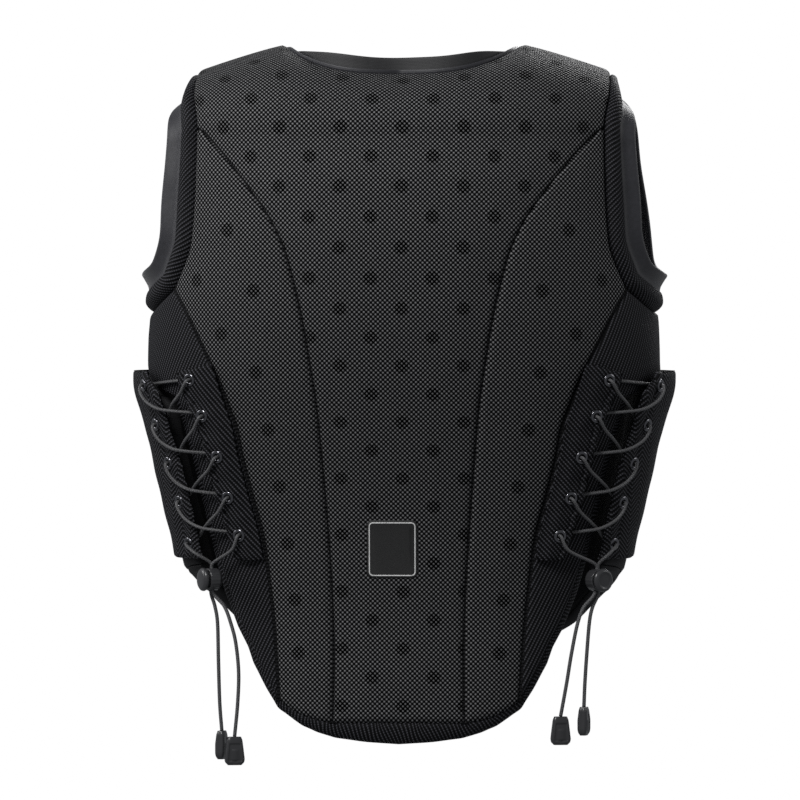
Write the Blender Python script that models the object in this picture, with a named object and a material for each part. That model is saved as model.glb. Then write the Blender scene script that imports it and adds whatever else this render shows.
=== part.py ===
"""Equestrian body protector with laced sides, worn shape, in metres.

+Z is up, +X is the wearer's right and -Y is the wearer's back. The origin is where the vest
hangs on the shoulders. Every panel is a patch of one outer skin, which is placed by an angle
round the body and a height: 0 degrees is the centre back, 90 the side and 180 the centre front.
"""

import math

import bpy
import bmesh
import numpy as np
from mathutils import Matrix, Vector

# Driving dimensions of the body form
BACK_LENGTH = 0.554
CHEST_HALF_WIDTH = 0.2095
BACK_DEPTH = 0.133
FRONT_DEPTH = 0.124
ROUNDNESS = 2.4
FOAM_WALL = 0.016
SEAM_GAP = 0.0012
SEAM_DROP = 0.0028
SEAM_TIP_LENGTH = 0.006
FIT_GAP = 0.0004

# Shoulders and neck
SHOULDER_TOP = 0.0155
SHOULDER_FALL = 0.0215
SHOULDER_HALF_WIDTH = 0.170
NECK_HALF_WIDTH = 0.098
NECK_BACK_DROP = 0.0237
NECK_FRONT_DROP = 0.092
ROLL_START = 0.060
ROLL_LENGTH = 0.150
NECK_DIP = 0.0115
NECK_GAP = 0.0017
SHOULDER_GAP = 0.0014
NECK_BINDING_HEIGHT = 0.0042
NECK_FACING_HEIGHT = 0.0066
NECK_FACING_WALL = 0.0055
NECK_FACING_LOW = 0.0022
NECK_FACING_OUT = 0.0022

# Armholes
ARMHOLE_BOTTOM = 0.2055
ARMHOLE_CORNER = 0.1846
UNDERARM_SPREAD = 29.0
GUSSET_WIDTH = 0.0165
GUSSET_TIP_WALL = 0.006
TRIM_WIDTH = 0.0155
TRIM_WALL = 0.003
GUSSET_PUFF = 0.0012
GUSSET_TIP_SINK = 0.0008
LEAN_AT_ENDS = 12.0
LEAN_AT_SIDES = 46.0
LEAN_EASING = 15
GUSSET_LEAN_BACK = 0.14
TRIM_LEAN_OUT = 0.18
BAND_NARROWING = 0.16

# Hems
FRONT_LENGTH = 0.490
HEM_DEPTH_CENTRE = 0.0155
HEM_DEPTH_SIDE = 0.0055
HEM_DEPTH_REACH = 0.105
HEM_GAP = 0.0009
FRONT_HEM_DEPTH = 0.006

# Centre front zip
ZIP_CHAIN_WIDTH = 0.006
ZIP_CHAIN_WALL = 0.003
ZIP_SLIDER_LENGTH = 0.014
ZIP_CHAIN_DEPTH = 0.003
ZIP_TOP_INSET = 0.001
ZIP_ROWS = 9
ZIP_SLIDER_WIDTH = 0.0052
ZIP_SLIDER_HEIGHT = 0.0050
ZIP_SLIDER_DROP = 0.022
ZIP_PULL_LENGTH = 0.026
ZIP_PULL_WALL = 0.0016

# Lacing
TAB_WALL = 0.0022
FLAP_WALL = 0.0024
TAB_LIFT = 0.0048
FLAP_LIFT = 0.0052
FLAP_SEAM_LIFT = 0.0012
FLAP_FLARE = 0.0075
LACING_TOP = 0.2526
LACING_BOTTOM = 0.4050
FLAP_SEAM_ANGLE = 104.0
EYELET_OUTER = 0.0054
EYELET_BORE = 0.0024
EYELET_HEIGHT = 0.0012
SEAT_TURN = 1.2
SEAT_STEP = 0.004
CORD_DIAMETER = 0.003
STRAND_OVER_SEAT = 0.0034
STRAND_LOW = 0.0023
CORD_BELOW_SEAT = 0.0022
CORD_ABOVE_SEAT = 0.0028
BAR_LIFT = 0.0026
BAR_ARCH = 0.0008

# Cord lock
TOGGLE_RADIUS = 0.0090
TOGGLE_WALL = 0.0022
TOGGLE_FLOOR = 0.0014
TOGGLE_STEM_DEPTH = 0.0070
TOGGLE_TRAVEL = 0.0020
TOGGLE_HEAD_RADIUS = 0.0095
TOGGLE_HEAD_HEIGHT = 0.0042
TOGGLE_CLEARANCE = 0.0004
TOGGLE_CORD_SPACING = 0.0036
TOGGLE_X = {"left": 0.1535, "right": 0.1605}
TOGGLE_DOWN = 0.4203
TOGGLE_LIFT = 0.0150
TOGGLE_TURN = {"left": 62.0, "right": 42.0}

# Cord ends
END_WIDTH = 0.0165
END_LENGTH = 0.0230
END_WALL = 0.0092

# How finely the panels are divided
SEAM_ROWS = 12
SIDE_COLUMNS = 5
FRONT_COLUMNS = 8
NECK_COLUMNS = np.array([0.0, 0.32, 0.62, 0.86])

# Body sections: down as a share of the back length, half width as a share of the chest's,
# depth behind and in front as shares of the back and front depth
SECTIONS = (
    # down, half_width, back, front
    (0.108, 0.955, 0.887, 0.770),
    (0.181, 0.955, 0.970, 0.887),
    (0.271, 0.972, 1.000, 0.968),
    (0.361, 0.998, 0.985, 1.000),
    (0.451, 1.006, 0.940, 0.984),
    (0.542, 0.984, 0.872, 0.944),
    (0.632, 0.936, 0.805, 0.903),
    (0.722, 0.880, 0.759, 0.879),
    (0.812, 0.842, 0.744, 0.871),
    (0.903, 0.822, 0.767, 0.871),
    (1.010, 0.812, 0.812, 0.871),
)

# Seam from the armhole down to the tail: down share of back length, across share of half width
PRINCESS_SEAM = (
    # down, across
    (0.0915, 0.7995),
    (0.136, 0.686),
    (0.186, 0.581),
    (0.232, 0.4955),
    (0.279, 0.4367),
    (0.314, 0.4095),
    (0.370, 0.3742),
    (0.438, 0.3432),
    (0.506, 0.3160),
    (0.586, 0.2964),
    (0.699, 0.2730),
    (0.788, 0.2592),
    (0.875, 0.2535),
    (0.970, 0.2573),
)

# Seam between the side panel and the side wing
OUTER_SEAM = (
    # down, across
    (0.3332, 0.8854),
    (0.373, 0.8267),
    (0.423, 0.7604),
    (0.465, 0.7060),
    (0.503, 0.6668),
    (0.538, 0.6320),
    (0.578, 0.6120),
    (0.6415, 0.5695),
    (0.6975, 0.5303),
    (0.7596, 0.5069),
    (0.826, 0.4874),
    (0.907, 0.4721),
    (0.950, 0.4640),
)

# Rear armhole edge
ARMHOLE_REAR = (
    # down, across
    (-0.010, 0.8115),
    (0.038, 0.8180),
    (0.093, 0.7995),
    (0.174, 0.8033),
    (0.264, 0.8191),
    (0.3332, 0.8854),
)

# Tail outline, from the centre round to the wing under the flap
TAIL_OUTLINE = (
    # across, down
    (0.0000, 1.0000),
    (0.1289, 0.9970),
    (0.2535, 0.9910),
    (0.3236, 0.9836),
    (0.3900, 0.9733),
    (0.4835, 0.9498),
    (0.5403, 0.9173),
    (0.5890, 0.8834),
    (0.6086, 0.8628),
    (0.6554, 0.8303),
    (0.7060, 0.7830),
    (0.7420, 0.7380),
    (0.7760, 0.6840),
    (0.8130, 0.6200),
    (0.8560, 0.5560),
    (0.9060, 0.4980),
)

# Outer edges of the lacing tab and inner edge of the lacing flap, as the back view shows them
TAB_EDGE = (
    # down, across
    (0.4550, 0.8700),
    (0.4675, 0.8650),
    (0.5055, 0.8191),
    (0.5580, 0.7685),
    (0.6390, 0.7170),
    (0.6950, 0.6706),
    (0.7310, 0.6430),
)
FLAP_EDGE = (
    # down, across
    (0.4560, 1.0050),
    (0.4890, 0.9470),
    (0.5470, 0.8970),
    (0.5960, 0.8540),
    (0.7310, 0.7760),
)

# Eyelets of both rows, from the top
EYELETS = (
    # inner_across, inner_down, outer_across, outer_down
    (0.8153, 0.4661, 1.0091, 0.4749),
    (0.7661, 0.5184, 0.9594, 0.5323),
    (0.7079, 0.5782, 0.9088, 0.5884),
    (0.6668, 0.6386, 0.8659, 0.6458),
    (0.6239, 0.6946, 0.8306, 0.7079),
)

# Heights of the armhole's front edge: down share, angle
ARMHOLE_FRONT = (
    # down, angle
    (0.3330, 119.0),
    (0.2700, 121.5),
    (0.1800, 124.0),
    (0.1083, 125.4),
)
# Front hem: angle round the body, down share of the front length
FRONT_HEM = (
    # angle, down
    (60.0, 0.838),
    (90.0, 0.853),
    (111.0, 0.887),
    (118.0, 0.904),
    (130.0, 0.941),
    (155.0, 0.985),
    (180.0, 1.000),
)

# One strand's way from an eyelet to the next lower one on the other side: how far across to
# that eyelet, how far down to it, and the height: 0 runs under the cloth, 1 on top of it
INNER_STRAND = (
    # across, down, height
    (0.04, 0.08, 1.12),
    (0.16, 0.28, 1.00),
    (0.38, 0.50, 0.80),
    (0.60, 0.68, 0.28),
    (0.80, 0.86, 0.00),
)
OUTER_STRAND = (
    # across, down, height
    (0.05, 0.24, 1.12),
    (0.17, 0.52, 1.06),
    (0.40, 0.74, 0.98),
    (0.62, 0.85, 0.52),
    (0.82, 0.93, 0.00),
)

# Free cord ends below the toggles, hand placed: across from the centre, back, and up
TAIL_ROUTES = {
    "left_outer": (
        (-0.1543, -0.0768, -0.4224),
        (-0.1543, -0.0768, -0.4335),
        (-0.1512, -0.0772, -0.4440),
        (-0.1490, -0.0775, -0.4580),
        (-0.1483, -0.0770, -0.4894),
        (-0.1474, -0.0755, -0.5229),
        (-0.1458, -0.0740, -0.5458),
    ),
    "left_inner": (
        (-0.1527, -0.0800, -0.4224),
        (-0.1520, -0.0802, -0.4335),
        (-0.1430, -0.0825, -0.4440),
        (-0.1375, -0.0850, -0.4580),
        (-0.1334, -0.0868, -0.4740),
        (-0.1311, -0.0875, -0.4976),
        (-0.1319, -0.0878, -0.5229),
        (-0.1344, -0.0878, -0.5498),
    ),
    "right_outer": (
        (0.1618, -0.0772, -0.4224),
        (0.1614, -0.0772, -0.4335),
        (0.1570, -0.0782, -0.4440),
        (0.1545, -0.0788, -0.4560),
        (0.1524, -0.0785, -0.4812),
        (0.1508, -0.0778, -0.5057),
        (0.1500, -0.0775, -0.5253),
    ),
    "right_inner": (
        (0.1592, -0.0796, -0.4224),
        (0.1584, -0.0800, -0.4335),
        (0.1500, -0.0830, -0.4440),
        (0.1450, -0.0848, -0.4570),
        (0.1401, -0.0858, -0.4812),
        (0.1361, -0.0855, -0.5057),
        (0.1312, -0.0850, -0.5327),
    ),
}


def smooth_table(rows, key, value):
    """A smooth curve through two columns of a table: cubic pieces with limited slopes."""
    data = sorted((row[key], row[value]) for row in rows)
    xs = np.array([pair[0] for pair in data])
    ys = np.array([pair[1] for pair in data])
    step = np.diff(xs)
    rise = np.diff(ys) / step
    slope = np.empty_like(xs)
    slope[0], slope[-1] = rise[0], rise[-1]
    same_way = rise[:-1] * rise[1:] > 0
    slope[1:-1] = np.where(same_way, 2 * rise[:-1] * rise[1:] / (rise[:-1] + rise[1:] + 1e-12), 0)

    def curve(x):
        x = np.clip(np.asarray(x, float), xs[0], xs[-1])
        i = np.clip(np.searchsorted(xs, x) - 1, 0, len(step) - 1)
        t = (x - xs[i]) / step[i]
        start = ys[i] * (1 + 2 * t) * (1 - t) ** 2 + ys[i + 1] * t**2 * (3 - 2 * t)
        return start + step[i] * (slope[i] * t * (1 - t) ** 2 - slope[i + 1] * t**2 * (1 - t))

    return curve


def smoothstep(x):
    """0 below 0, 1 above 1, and an even rise between."""
    x = np.clip(x, 0, 1)
    return x * x * (3 - 2 * x)


def shares(rows, down, across):
    """A table's curve from a height in metres to a half width in metres."""
    curve = smooth_table(rows, down, across)
    return lambda z: CHEST_HALF_WIDTH * curve(-np.asarray(z) / BACK_LENGTH)


half_width_at = shares(SECTIONS, 0, 1)
princess_seam = shares(PRINCESS_SEAM, 0, 1)
outer_seam = shares(OUTER_SEAM, 0, 1)
armhole_rear = shares(ARMHOLE_REAR, 0, 1)
tab_edge = shares(TAB_EDGE, 0, 1)
flap_edge = shares(FLAP_EDGE, 0, 1)
back_share = smooth_table(SECTIONS, 0, 2)
front_share = smooth_table(SECTIONS, 0, 3)
armhole_front = smooth_table(ARMHOLE_FRONT, 0, 1)
front_hem_share = smooth_table(FRONT_HEM, 0, 1)


def ridge_height(x):
    """Height of the shoulder line at a distance from the centre."""
    x = np.abs(x)
    run = SHOULDER_HALF_WIDTH - NECK_HALF_WIDTH
    outside = SHOULDER_TOP - SHOULDER_FALL * (np.maximum(x - NECK_HALF_WIDTH, 0) / run) ** 1.15
    inside = NECK_DIP * (1 - np.minimum(x / NECK_HALF_WIDTH, 1)) ** 2
    return outside - inside


def skin(angle, height):
    """Points of the outer skin, for arrays of angles in degrees and of heights along it."""
    angle, height = np.broadcast_arrays(np.asarray(angle, float), np.asarray(height, float))
    flat = np.minimum(height, -ROLL_START)
    turn = np.clip((height + ROLL_START) / ROLL_LENGTH, 0, 1) * math.pi / 2
    sine, cosine = np.sin(np.radians(angle)), np.cos(np.radians(angle))
    x = half_width_at(flat) * np.sign(sine) * np.abs(sine) ** (2 / ROUNDNESS)
    down = -flat / BACK_LENGTH
    depth = np.where(cosine > 0, BACK_DEPTH * back_share(down), FRONT_DEPTH * front_share(down))
    y = -depth * np.sign(cosine) * np.abs(cosine) ** (2 / ROUNDNESS) * np.cos(turn)
    z = flat + (ridge_height(x) + ROLL_START) * np.sin(turn)
    return np.stack([x, y, z], -1)


def skin_normal(angle, height):
    """Outward directions of the skin, from small steps along it."""
    step_a, step_h = 0.6, 0.0015
    height = np.minimum(height, ROLL_LENGTH - ROLL_START - 2 * step_h)
    along = skin(angle + step_a, height) - skin(angle - step_a, height)
    up = skin(angle, height + step_h) - skin(angle, height - step_h)
    normal = np.cross(along, up)
    return normal / np.linalg.norm(normal, axis=-1, keepdims=True)


def lifted(angle, height, lift):
    """Skin points moved out by a lift."""
    return skin(angle, height) + skin_normal(angle, height) * np.asarray(lift)[..., None]


def angle_of(x, height, front=False):
    """The angle at which the skin lies at this distance from the centre."""
    ratio = np.clip(np.abs(x) / half_width_at(np.minimum(height, -ROLL_START)), 0, 1)
    angle = np.degrees(np.arcsin(ratio ** (ROUNDNESS / 2)))
    return 180 - angle if front else angle


def angle_seen(x, height, lift):
    """The angle where a point lifted off the skin stands at this distance from the centre."""
    low, high = 20.0, 90.0
    for _ in range(40):
        middle = (low + high) / 2
        if lifted(middle, height, lift)[0] < x:
            low = middle
        else:
            high = middle
    return (low + high) / 2


def height_of(z, x):
    """The height along the skin of a level near or above the start of the roll."""
    if z <= -ROLL_START:
        return z
    sine = (z + ROLL_START) / (float(ridge_height(x)) + ROLL_START)
    return -ROLL_START + ROLL_LENGTH * 2 / math.pi * math.asin(min(sine, 1.0))


RIDGE = ROLL_LENGTH - ROLL_START


def material(name, colour, roughness, metallic=0.0):
    """A plain Principled material, made once for each name."""
    made = bpy.data.materials.get(name)
    if made:
        return made
    made = bpy.data.materials.new(name)
    made.use_nodes = True
    shader = made.node_tree.nodes["Principled BSDF"]
    shader.inputs["Base Color"].default_value = (*colour, 1)
    shader.inputs["Roughness"].default_value = roughness
    shader.inputs["Metallic"].default_value = metallic
    made.diffuse_color = (*colour, 1)
    return made


FINE_MESH = ("fine_mesh", (0.030, 0.030, 0.031), 0.80)
COARSE_MESH = ("coarse_mesh", (0.020, 0.020, 0.023), 0.85)
LYCRA = ("lycra", (0.032, 0.032, 0.038), 0.60)
FRONT_CLOTH = ("front_cloth", (0.014, 0.014, 0.015), 0.75)
CORD = ("elastic_cord", (0.075, 0.075, 0.078), 0.65)
PLASTIC = ("grey_plastic", (0.045, 0.046, 0.048), 0.38)
GUNMETAL = ("gunmetal", (0.18, 0.18, 0.19), 0.35, 1.0)


def add_mesh(name, points, faces, look, smooth=True):
    """One closed solid from points and faces, turned to face out."""
    shape = bmesh.new()
    corners = [shape.verts.new(p) for p in points]
    for face in faces:
        shape.faces.new([corners[i] for i in face])
    bmesh.ops.recalc_face_normals(shape, faces=shape.faces)
    mesh = bpy.data.meshes.new(name)
    shape.to_mesh(mesh)
    shape.free()
    obj = bpy.data.objects.new(name, mesh)
    obj.data.materials.append(material(*look))
    bpy.context.scene.collection.objects.link(obj)
    if smooth:
        mesh.shade_smooth()
        mesh.set_sharp_from_angle(angle=math.radians(42))
    return obj


def slab(name, outer, inner, look, side=1):
    """A wall between two equal grids of points, closed round its four edges."""
    rows, columns = outer.shape[:2]
    points = np.concatenate([outer.reshape(-1, 3), inner.reshape(-1, 3)])
    points = points * np.array([side, 1, 1])
    under = rows * columns
    index = np.arange(under).reshape(rows, columns)
    faces = []
    for i in range(rows - 1):
        for j in range(columns - 1):
            a, b, c, d = index[i, j], index[i, j + 1], index[i + 1, j + 1], index[i + 1, j]
            faces.append((a, b, c, d))
            faces.append((under + d, under + c, under + b, under + a))
    loop = list(index[0, :]) + list(index[1:, -1]) + list(index[-1, -2::-1]) + list(index[-2:0:-1, 0])
    for a, b in zip(loop, loop[1:] + loop[:1]):
        faces.append((b, a, under + a, under + b))
    return add_mesh(name, points.tolist(), faces, look)


def sweep(name, rings, look, closed, side=1):
    """A solid through equal rings of points, closed into a hoop or capped at both ends."""
    rings = np.asarray(rings) * np.array([side, 1, 1])
    count, size = rings.shape[:2]
    faces = []
    for i in range(count if closed else count - 1):
        for j in range(size):
            a, b = i * size + j, i * size + (j + 1) % size
            c, d = (i + 1) % count * size + (j + 1) % size, (i + 1) % count * size + j
            faces.append((a, b, c, d))
    if not closed:
        faces.append(tuple(range(size)))
        faces.append(tuple(range((count - 1) * size, count * size))[::-1])
    return add_mesh(name, rings.reshape(-1, 3).tolist(), faces, look)


def patch(bottom, top, left, right):
    """Angles and heights over a four-sided piece, blended in from its four edge curves."""
    def spacing(curve):
        points = skin(curve[:, 0], curve[:, 1])
        length = np.concatenate([[0], np.cumsum(np.linalg.norm(np.diff(points, axis=0), axis=1))])
        return length / length[-1]

    u = ((spacing(bottom) + spacing(top)) / 2)[None, :, None]
    v = ((spacing(left) + spacing(right)) / 2)[:, None, None]
    across = (1 - u) * left[:, None] + u * right[:, None]
    along = (1 - v) * bottom[None] + v * top[None]
    ends = (1 - v) * ((1 - u) * left[0] + u * right[0]) + v * ((1 - u) * left[-1] + u * right[-1])
    return across + along - ends


def with_borders(grid, share=0.28):
    """The grid with one more line just inside each edge, where the wadding rounds down."""
    for _ in range(2):
        first = grid[:1] + (grid[1:2] - grid[:1]) * share
        last = grid[-1:] + (grid[-2:-1] - grid[-1:]) * share
        grid = np.concatenate([grid[:1], first, grid[1:-1], last, grid[-1:]])
        grid = grid.transpose(1, 0, 2)
    return grid


def panel(name, grid, look, side=1):
    """A padded panel over a grid of angles and heights, with its edges rounded down."""
    grid = with_borders(grid)
    angle, height = grid[..., 0], grid[..., 1]
    drop = np.zeros(angle.shape)
    drop[0, :] = drop[-1, :] = drop[:, 0] = drop[:, -1] = -SEAM_DROP
    outer = lifted(angle, height, drop)
    inner = lifted(angle, height, np.full(angle.shape, -FOAM_WALL))
    return slab(name, outer, inner, look, side)


def tail_point(share, inset=0.0):
    """A point of the tail outline, moved inward, as distance from the centre and level."""
    row = share * (len(TAIL_OUTLINE) - 1)
    numbers = range(len(TAIL_OUTLINE))
    across = smooth_table([(n, TAIL_OUTLINE[n][0]) for n in numbers], 0, 1)
    down = smooth_table([(n, TAIL_OUTLINE[n][1]) for n in numbers], 0, 1)

    def at(position):
        return np.array([CHEST_HALF_WIDTH * across(position), -BACK_LENGTH * down(position)])

    here = at(row)
    run = at(min(row + 0.05, len(TAIL_OUTLINE) - 1)) - at(max(row - 0.05, 0))
    run = run / np.linalg.norm(run)
    if share < 1e-6:
        run = np.array([1.0, 0.0])
    return here + inset * np.array([-run[1], run[0]])


def hem_depth(share):
    """How deep the rolled edge is along the tail outline."""
    x = tail_point(share)[0]
    blend = smoothstep(x / HEM_DEPTH_REACH)
    return HEM_DEPTH_CENTRE + (HEM_DEPTH_SIDE - HEM_DEPTH_CENTRE) * blend


def hem_edge(share, gap=0.0):
    """The lower edge of the panels at a share of the tail outline."""
    return tail_point(share, float(hem_depth(share)) + gap)


def crossing(seam):
    """The share of the tail outline where the panels' edge meets a seam."""
    low, high = 0.0, 1.0
    for _ in range(40):
        middle = (low + high) / 2
        x, z = hem_edge(middle, HEM_GAP)
        if x < float(seam(z)):
            low = middle
        else:
            high = middle
    return (low + high) / 2


PRINCESS_SHARE = crossing(princess_seam)
OUTER_SHARE = crossing(outer_seam)


def hem_curve(start, end, count):
    """Angles and heights along the panels' lower edge."""
    found = []
    for share in np.linspace(start, end, count):
        x, z = hem_edge(abs(share), HEM_GAP)
        found.append((math.copysign(float(angle_of(x, z)), share) if share else 0.0, z))
    return np.array(found)


def seam_curve(seam, heights, move):
    """Angles and heights along a seam, moved sideways by part of the seam gap."""
    heights = np.asarray(heights, float)
    levels = np.where(heights > -ROLL_START, skin(55.0, heights)[..., 2], heights)
    return np.stack([angle_of(seam(levels) + move, heights), heights], -1)


def neck_back_height(x):
    """Height along the skin of the back neck edge at a distance from the centre."""
    level = SHOULDER_TOP - NECK_BACK_DROP * (1 - (abs(x) / NECK_HALF_WIDTH) ** 3)
    return height_of(level, x)


def side_rows():
    """Levels of the rows of the side panel, with one on the armhole's corner."""
    low = hem_edge(OUTER_SHARE, HEM_GAP)[1]
    tip = -BACK_LENGTH * PRINCESS_SEAM[0][0] - SEAM_TIP_LENGTH
    above = np.linspace(-ARMHOLE_CORNER, tip, 6)[1:]
    return np.concatenate([np.linspace(low, -ARMHOLE_CORNER, SEAM_ROWS), above])


def princess_rows():
    """Levels at which both panels meet along the princess seam."""
    rows = side_rows()
    low = hem_edge(PRINCESS_SHARE, HEM_GAP)[1]
    return low + (rows - rows[0]) / (rows[-1] - rows[0]) * (rows[-1] - low)


def shoulder_heights():
    """Heights of the rows between the princess seam's tip and the shoulder line."""
    return np.linspace(side_rows()[-1], RIDGE - SHOULDER_GAP, 5)[1:]


def wing_top_angles():
    """Angles of the wing's columns at the armhole."""
    return np.linspace(float(seam_curve(outer_seam, [-ARMHOLE_CORNER], SEAM_GAP / 2)[0, 0]), 90 - 0.15, 6)


def back_centre_panel():
    """The long middle panel, from the tail to the shoulders."""
    half = SEAM_GAP / 2
    seam_rows = princess_rows()
    shoulder_rows = shoulder_heights()
    side_low = seam_curve(princess_seam, seam_rows, -half)
    side_high = seam_curve(armhole_rear, shoulder_rows, -half)
    edge = np.concatenate([side_low, side_high])
    edge[-1, 0] = float(angle_of(SHOULDER_HALF_WIDTH, RIDGE))
    shoulder = edge[-1, 0]
    neck = float(angle_of(NECK_HALF_WIDTH, RIDGE))
    angles = list(NECK_COLUMNS * neck) + [neck, (neck + shoulder) / 2, shoulder]
    heights = []
    for angle in angles:
        x = float(skin(angle, RIDGE)[0])
        heights.append(neck_back_height(x) if angle < neck - 1e-6 else RIDGE - SHOULDER_GAP)
    half_top = np.array(list(zip(angles, heights)))
    top = np.concatenate([half_top[:0:-1] * [-1, 1], half_top])
    bottom = hem_curve(-PRINCESS_SHARE, PRINCESS_SHARE, len(top))
    bottom[0] = edge[0] * [-1, 1]
    bottom[-1] = edge[0]
    return panel("back_centre_panel", patch(bottom, top, edge * [-1, 1], edge), FINE_MESH)


def back_side_panel(name, side):
    """The fine-mesh panel between the two curved seams."""
    half = SEAM_GAP / 2
    rows = side_rows()
    inner = seam_curve(princess_seam, princess_rows(), half)
    outer = np.concatenate([
        seam_curve(outer_seam, rows[:SEAM_ROWS], -half),
        seam_curve(armhole_rear, rows[SEAM_ROWS:], -half),
    ])
    top = np.linspace(inner[-1], outer[-1], SIDE_COLUMNS)
    bottom = hem_curve(PRINCESS_SHARE, OUTER_SHARE, SIDE_COLUMNS)
    bottom[0], bottom[-1] = inner[0], outer[0]
    return panel(name, patch(bottom, top, inner, outer), FINE_MESH, side)


def underarm_height(angle):
    """The lowest part of the armhole: its height at an angle."""
    rise = ARMHOLE_BOTTOM - ARMHOLE_CORNER
    return -ARMHOLE_BOTTOM + rise * ((angle - 90) / UNDERARM_SPREAD) ** 2


def wing_edge_angle(z):
    """Angle of the wing's free edge under the flap, for levels down to the toggle."""
    samples = [hem_edge(s, HEM_GAP) for s in np.linspace(0.62, 1.0, 30)]
    levels = np.array([p[1] for p in samples])
    across = np.array([p[0] for p in samples])
    return angle_of(np.interp(z, levels, across), z)


def wing_outer_edge(count):
    """The wing's free edge from the tail up to the armhole."""
    hem = hem_curve(OUTER_SHARE, 1.0, count - 3)
    hem[0] = hem_curve(OUTER_SHARE + 0.012, 1.0, 2)[0]
    last = hem[-1]
    corner = np.array([90 - 0.15, -LACING_TOP + 0.006])
    bend = (last * 0.45 + corner * 0.55) + np.array([2.0, -0.002])
    top = np.array([90 - 0.15, -ARMHOLE_BOTTOM])
    return np.concatenate([hem, [bend, corner, top]])


def side_wing(name, side):
    """The coarse-mesh panel that runs round to the side."""
    half = SEAM_GAP / 2
    outer = wing_outer_edge(SEAM_ROWS)
    inner = seam_curve(outer_seam, side_rows()[:SEAM_ROWS], half)
    angles = wing_top_angles()
    top = np.stack([angles, underarm_height(angles)], -1)
    inner[-1], outer[-1] = top[0], top[-1]
    bottom = np.linspace(inner[0], outer[0], 6)
    return panel(name, patch(bottom, top, inner, outer), COARSE_MESH, side)


def front_edge():
    """The front panel's outer edge, from the hem under the flap up to the shoulder."""
    found = []
    for z in np.linspace(-FRONT_LENGTH * 0.842, -LACING_TOP + 0.004, 6):
        spread = 12.0 * smoothstep((-z - LACING_TOP + 0.004) / 0.05)
        edge = min(wing_edge_angle(z) if z < -0.276 else 99.0, 90.15)
        blend = smoothstep((z + 0.285) / 0.030)
        edge = float(edge) * (1 - blend) + 90.15 * blend
        found.append((min(edge + spread + 0.35, 92.0) if z < -LACING_TOP else 90.15, z))
    found.append((90.15, -ARMHOLE_BOTTOM - 0.020))
    found.append((90.15, -ARMHOLE_BOTTOM))
    for angle in (99.0, 107.0, 113.5, 119.0):
        found.append((angle, float(underarm_height(angle))))
    for down in (0.27, 0.18, ROLL_START / BACK_LENGTH):
        found.append((float(armhole_front(down)), -BACK_LENGTH * down))
    shoulder = float(angle_of(SHOULDER_HALF_WIDTH, RIDGE, front=True))
    found.append((shoulder + 0.3, (RIDGE - ROLL_START) / 2))
    found.append((shoulder, RIDGE - SHOULDER_GAP))
    return np.array(found)


def neck_front_height(angle, neck):
    """Height along the skin of the front neckline at an angle."""
    share = max(0.0, (angle - neck) / (180 - neck))
    low = height_of(SHOULDER_TOP - NECK_FRONT_DROP, 0)
    return RIDGE - SHOULDER_GAP + (low - RIDGE) * math.sin(share * math.pi / 2) ** 0.75


def front_hem_angles():
    """Angles of the front panel's columns at its hem, from the zip to the side."""
    start = float(angle_of(ZIP_CHAIN_WIDTH / 2 + FIT_GAP, -FRONT_LENGTH, front=True))
    return np.linspace(start, float(front_edge()[0, 0]), FRONT_COLUMNS)


def front_panel(name, side):
    """One half of the front, from the zip to the side."""
    edge = front_edge()
    zip_half = ZIP_CHAIN_WIDTH / 2 + FIT_GAP
    shoulder = edge[-1, 0]
    neck = float(angle_of(NECK_HALF_WIDTH, RIDGE, front=True))
    low_neck = neck_front_height(180.0, neck)
    centre_rows = np.linspace(-FRONT_LENGTH, low_neck, len(edge))
    centre = np.stack([angle_of(zip_half, centre_rows, front=True), centre_rows], -1)
    angles = list(np.linspace(180.0, neck, FRONT_COLUMNS - 2)) + [(neck + shoulder) / 2, shoulder]
    top = np.array([(a, neck_front_height(a, neck)) for a in angles])
    top[FRONT_COLUMNS - 3:, 1] = RIDGE - SHOULDER_GAP
    top[0, 0] = centre[-1, 0]
    hem_angles = front_hem_angles()
    bottom = np.stack([hem_angles, -FRONT_LENGTH * front_hem_share(hem_angles)], -1)
    centre[0, 1] = bottom[0, 1]
    edge[0, 1] = bottom[-1, 1]
    centre[-1], edge[-1] = top[0], top[-1]
    return panel(name, patch(bottom, top, centre, edge), FRONT_CLOTH, side)


def armhole_loop():
    """Angles and heights round the armhole, from its lowest point up the back and down the front."""
    back = [(a, float(underarm_height(a))) for a in wing_top_angles()[:0:-1]]
    levels = np.concatenate([[-ARMHOLE_CORNER], side_rows()[SEAM_ROWS:], shoulder_heights()])
    back += [tuple(p) for p in seam_curve(armhole_rear, levels, 0.0)]
    back[-1] = (float(angle_of(SHOULDER_HALF_WIDTH, RIDGE)), RIDGE - SHOULDER_GAP)
    front = [tuple(p) for p in front_edge()[:6:-1]]
    return np.array(back + front)


def unit(vector):
    """Vectors scaled to length one."""
    return vector / np.linalg.norm(vector, axis=-1, keepdims=True)


def loop_tangent(points):
    """Directions along a closed loop of points."""
    return unit(np.roll(points, -1, axis=0) - np.roll(points, 1, axis=0))


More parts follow.
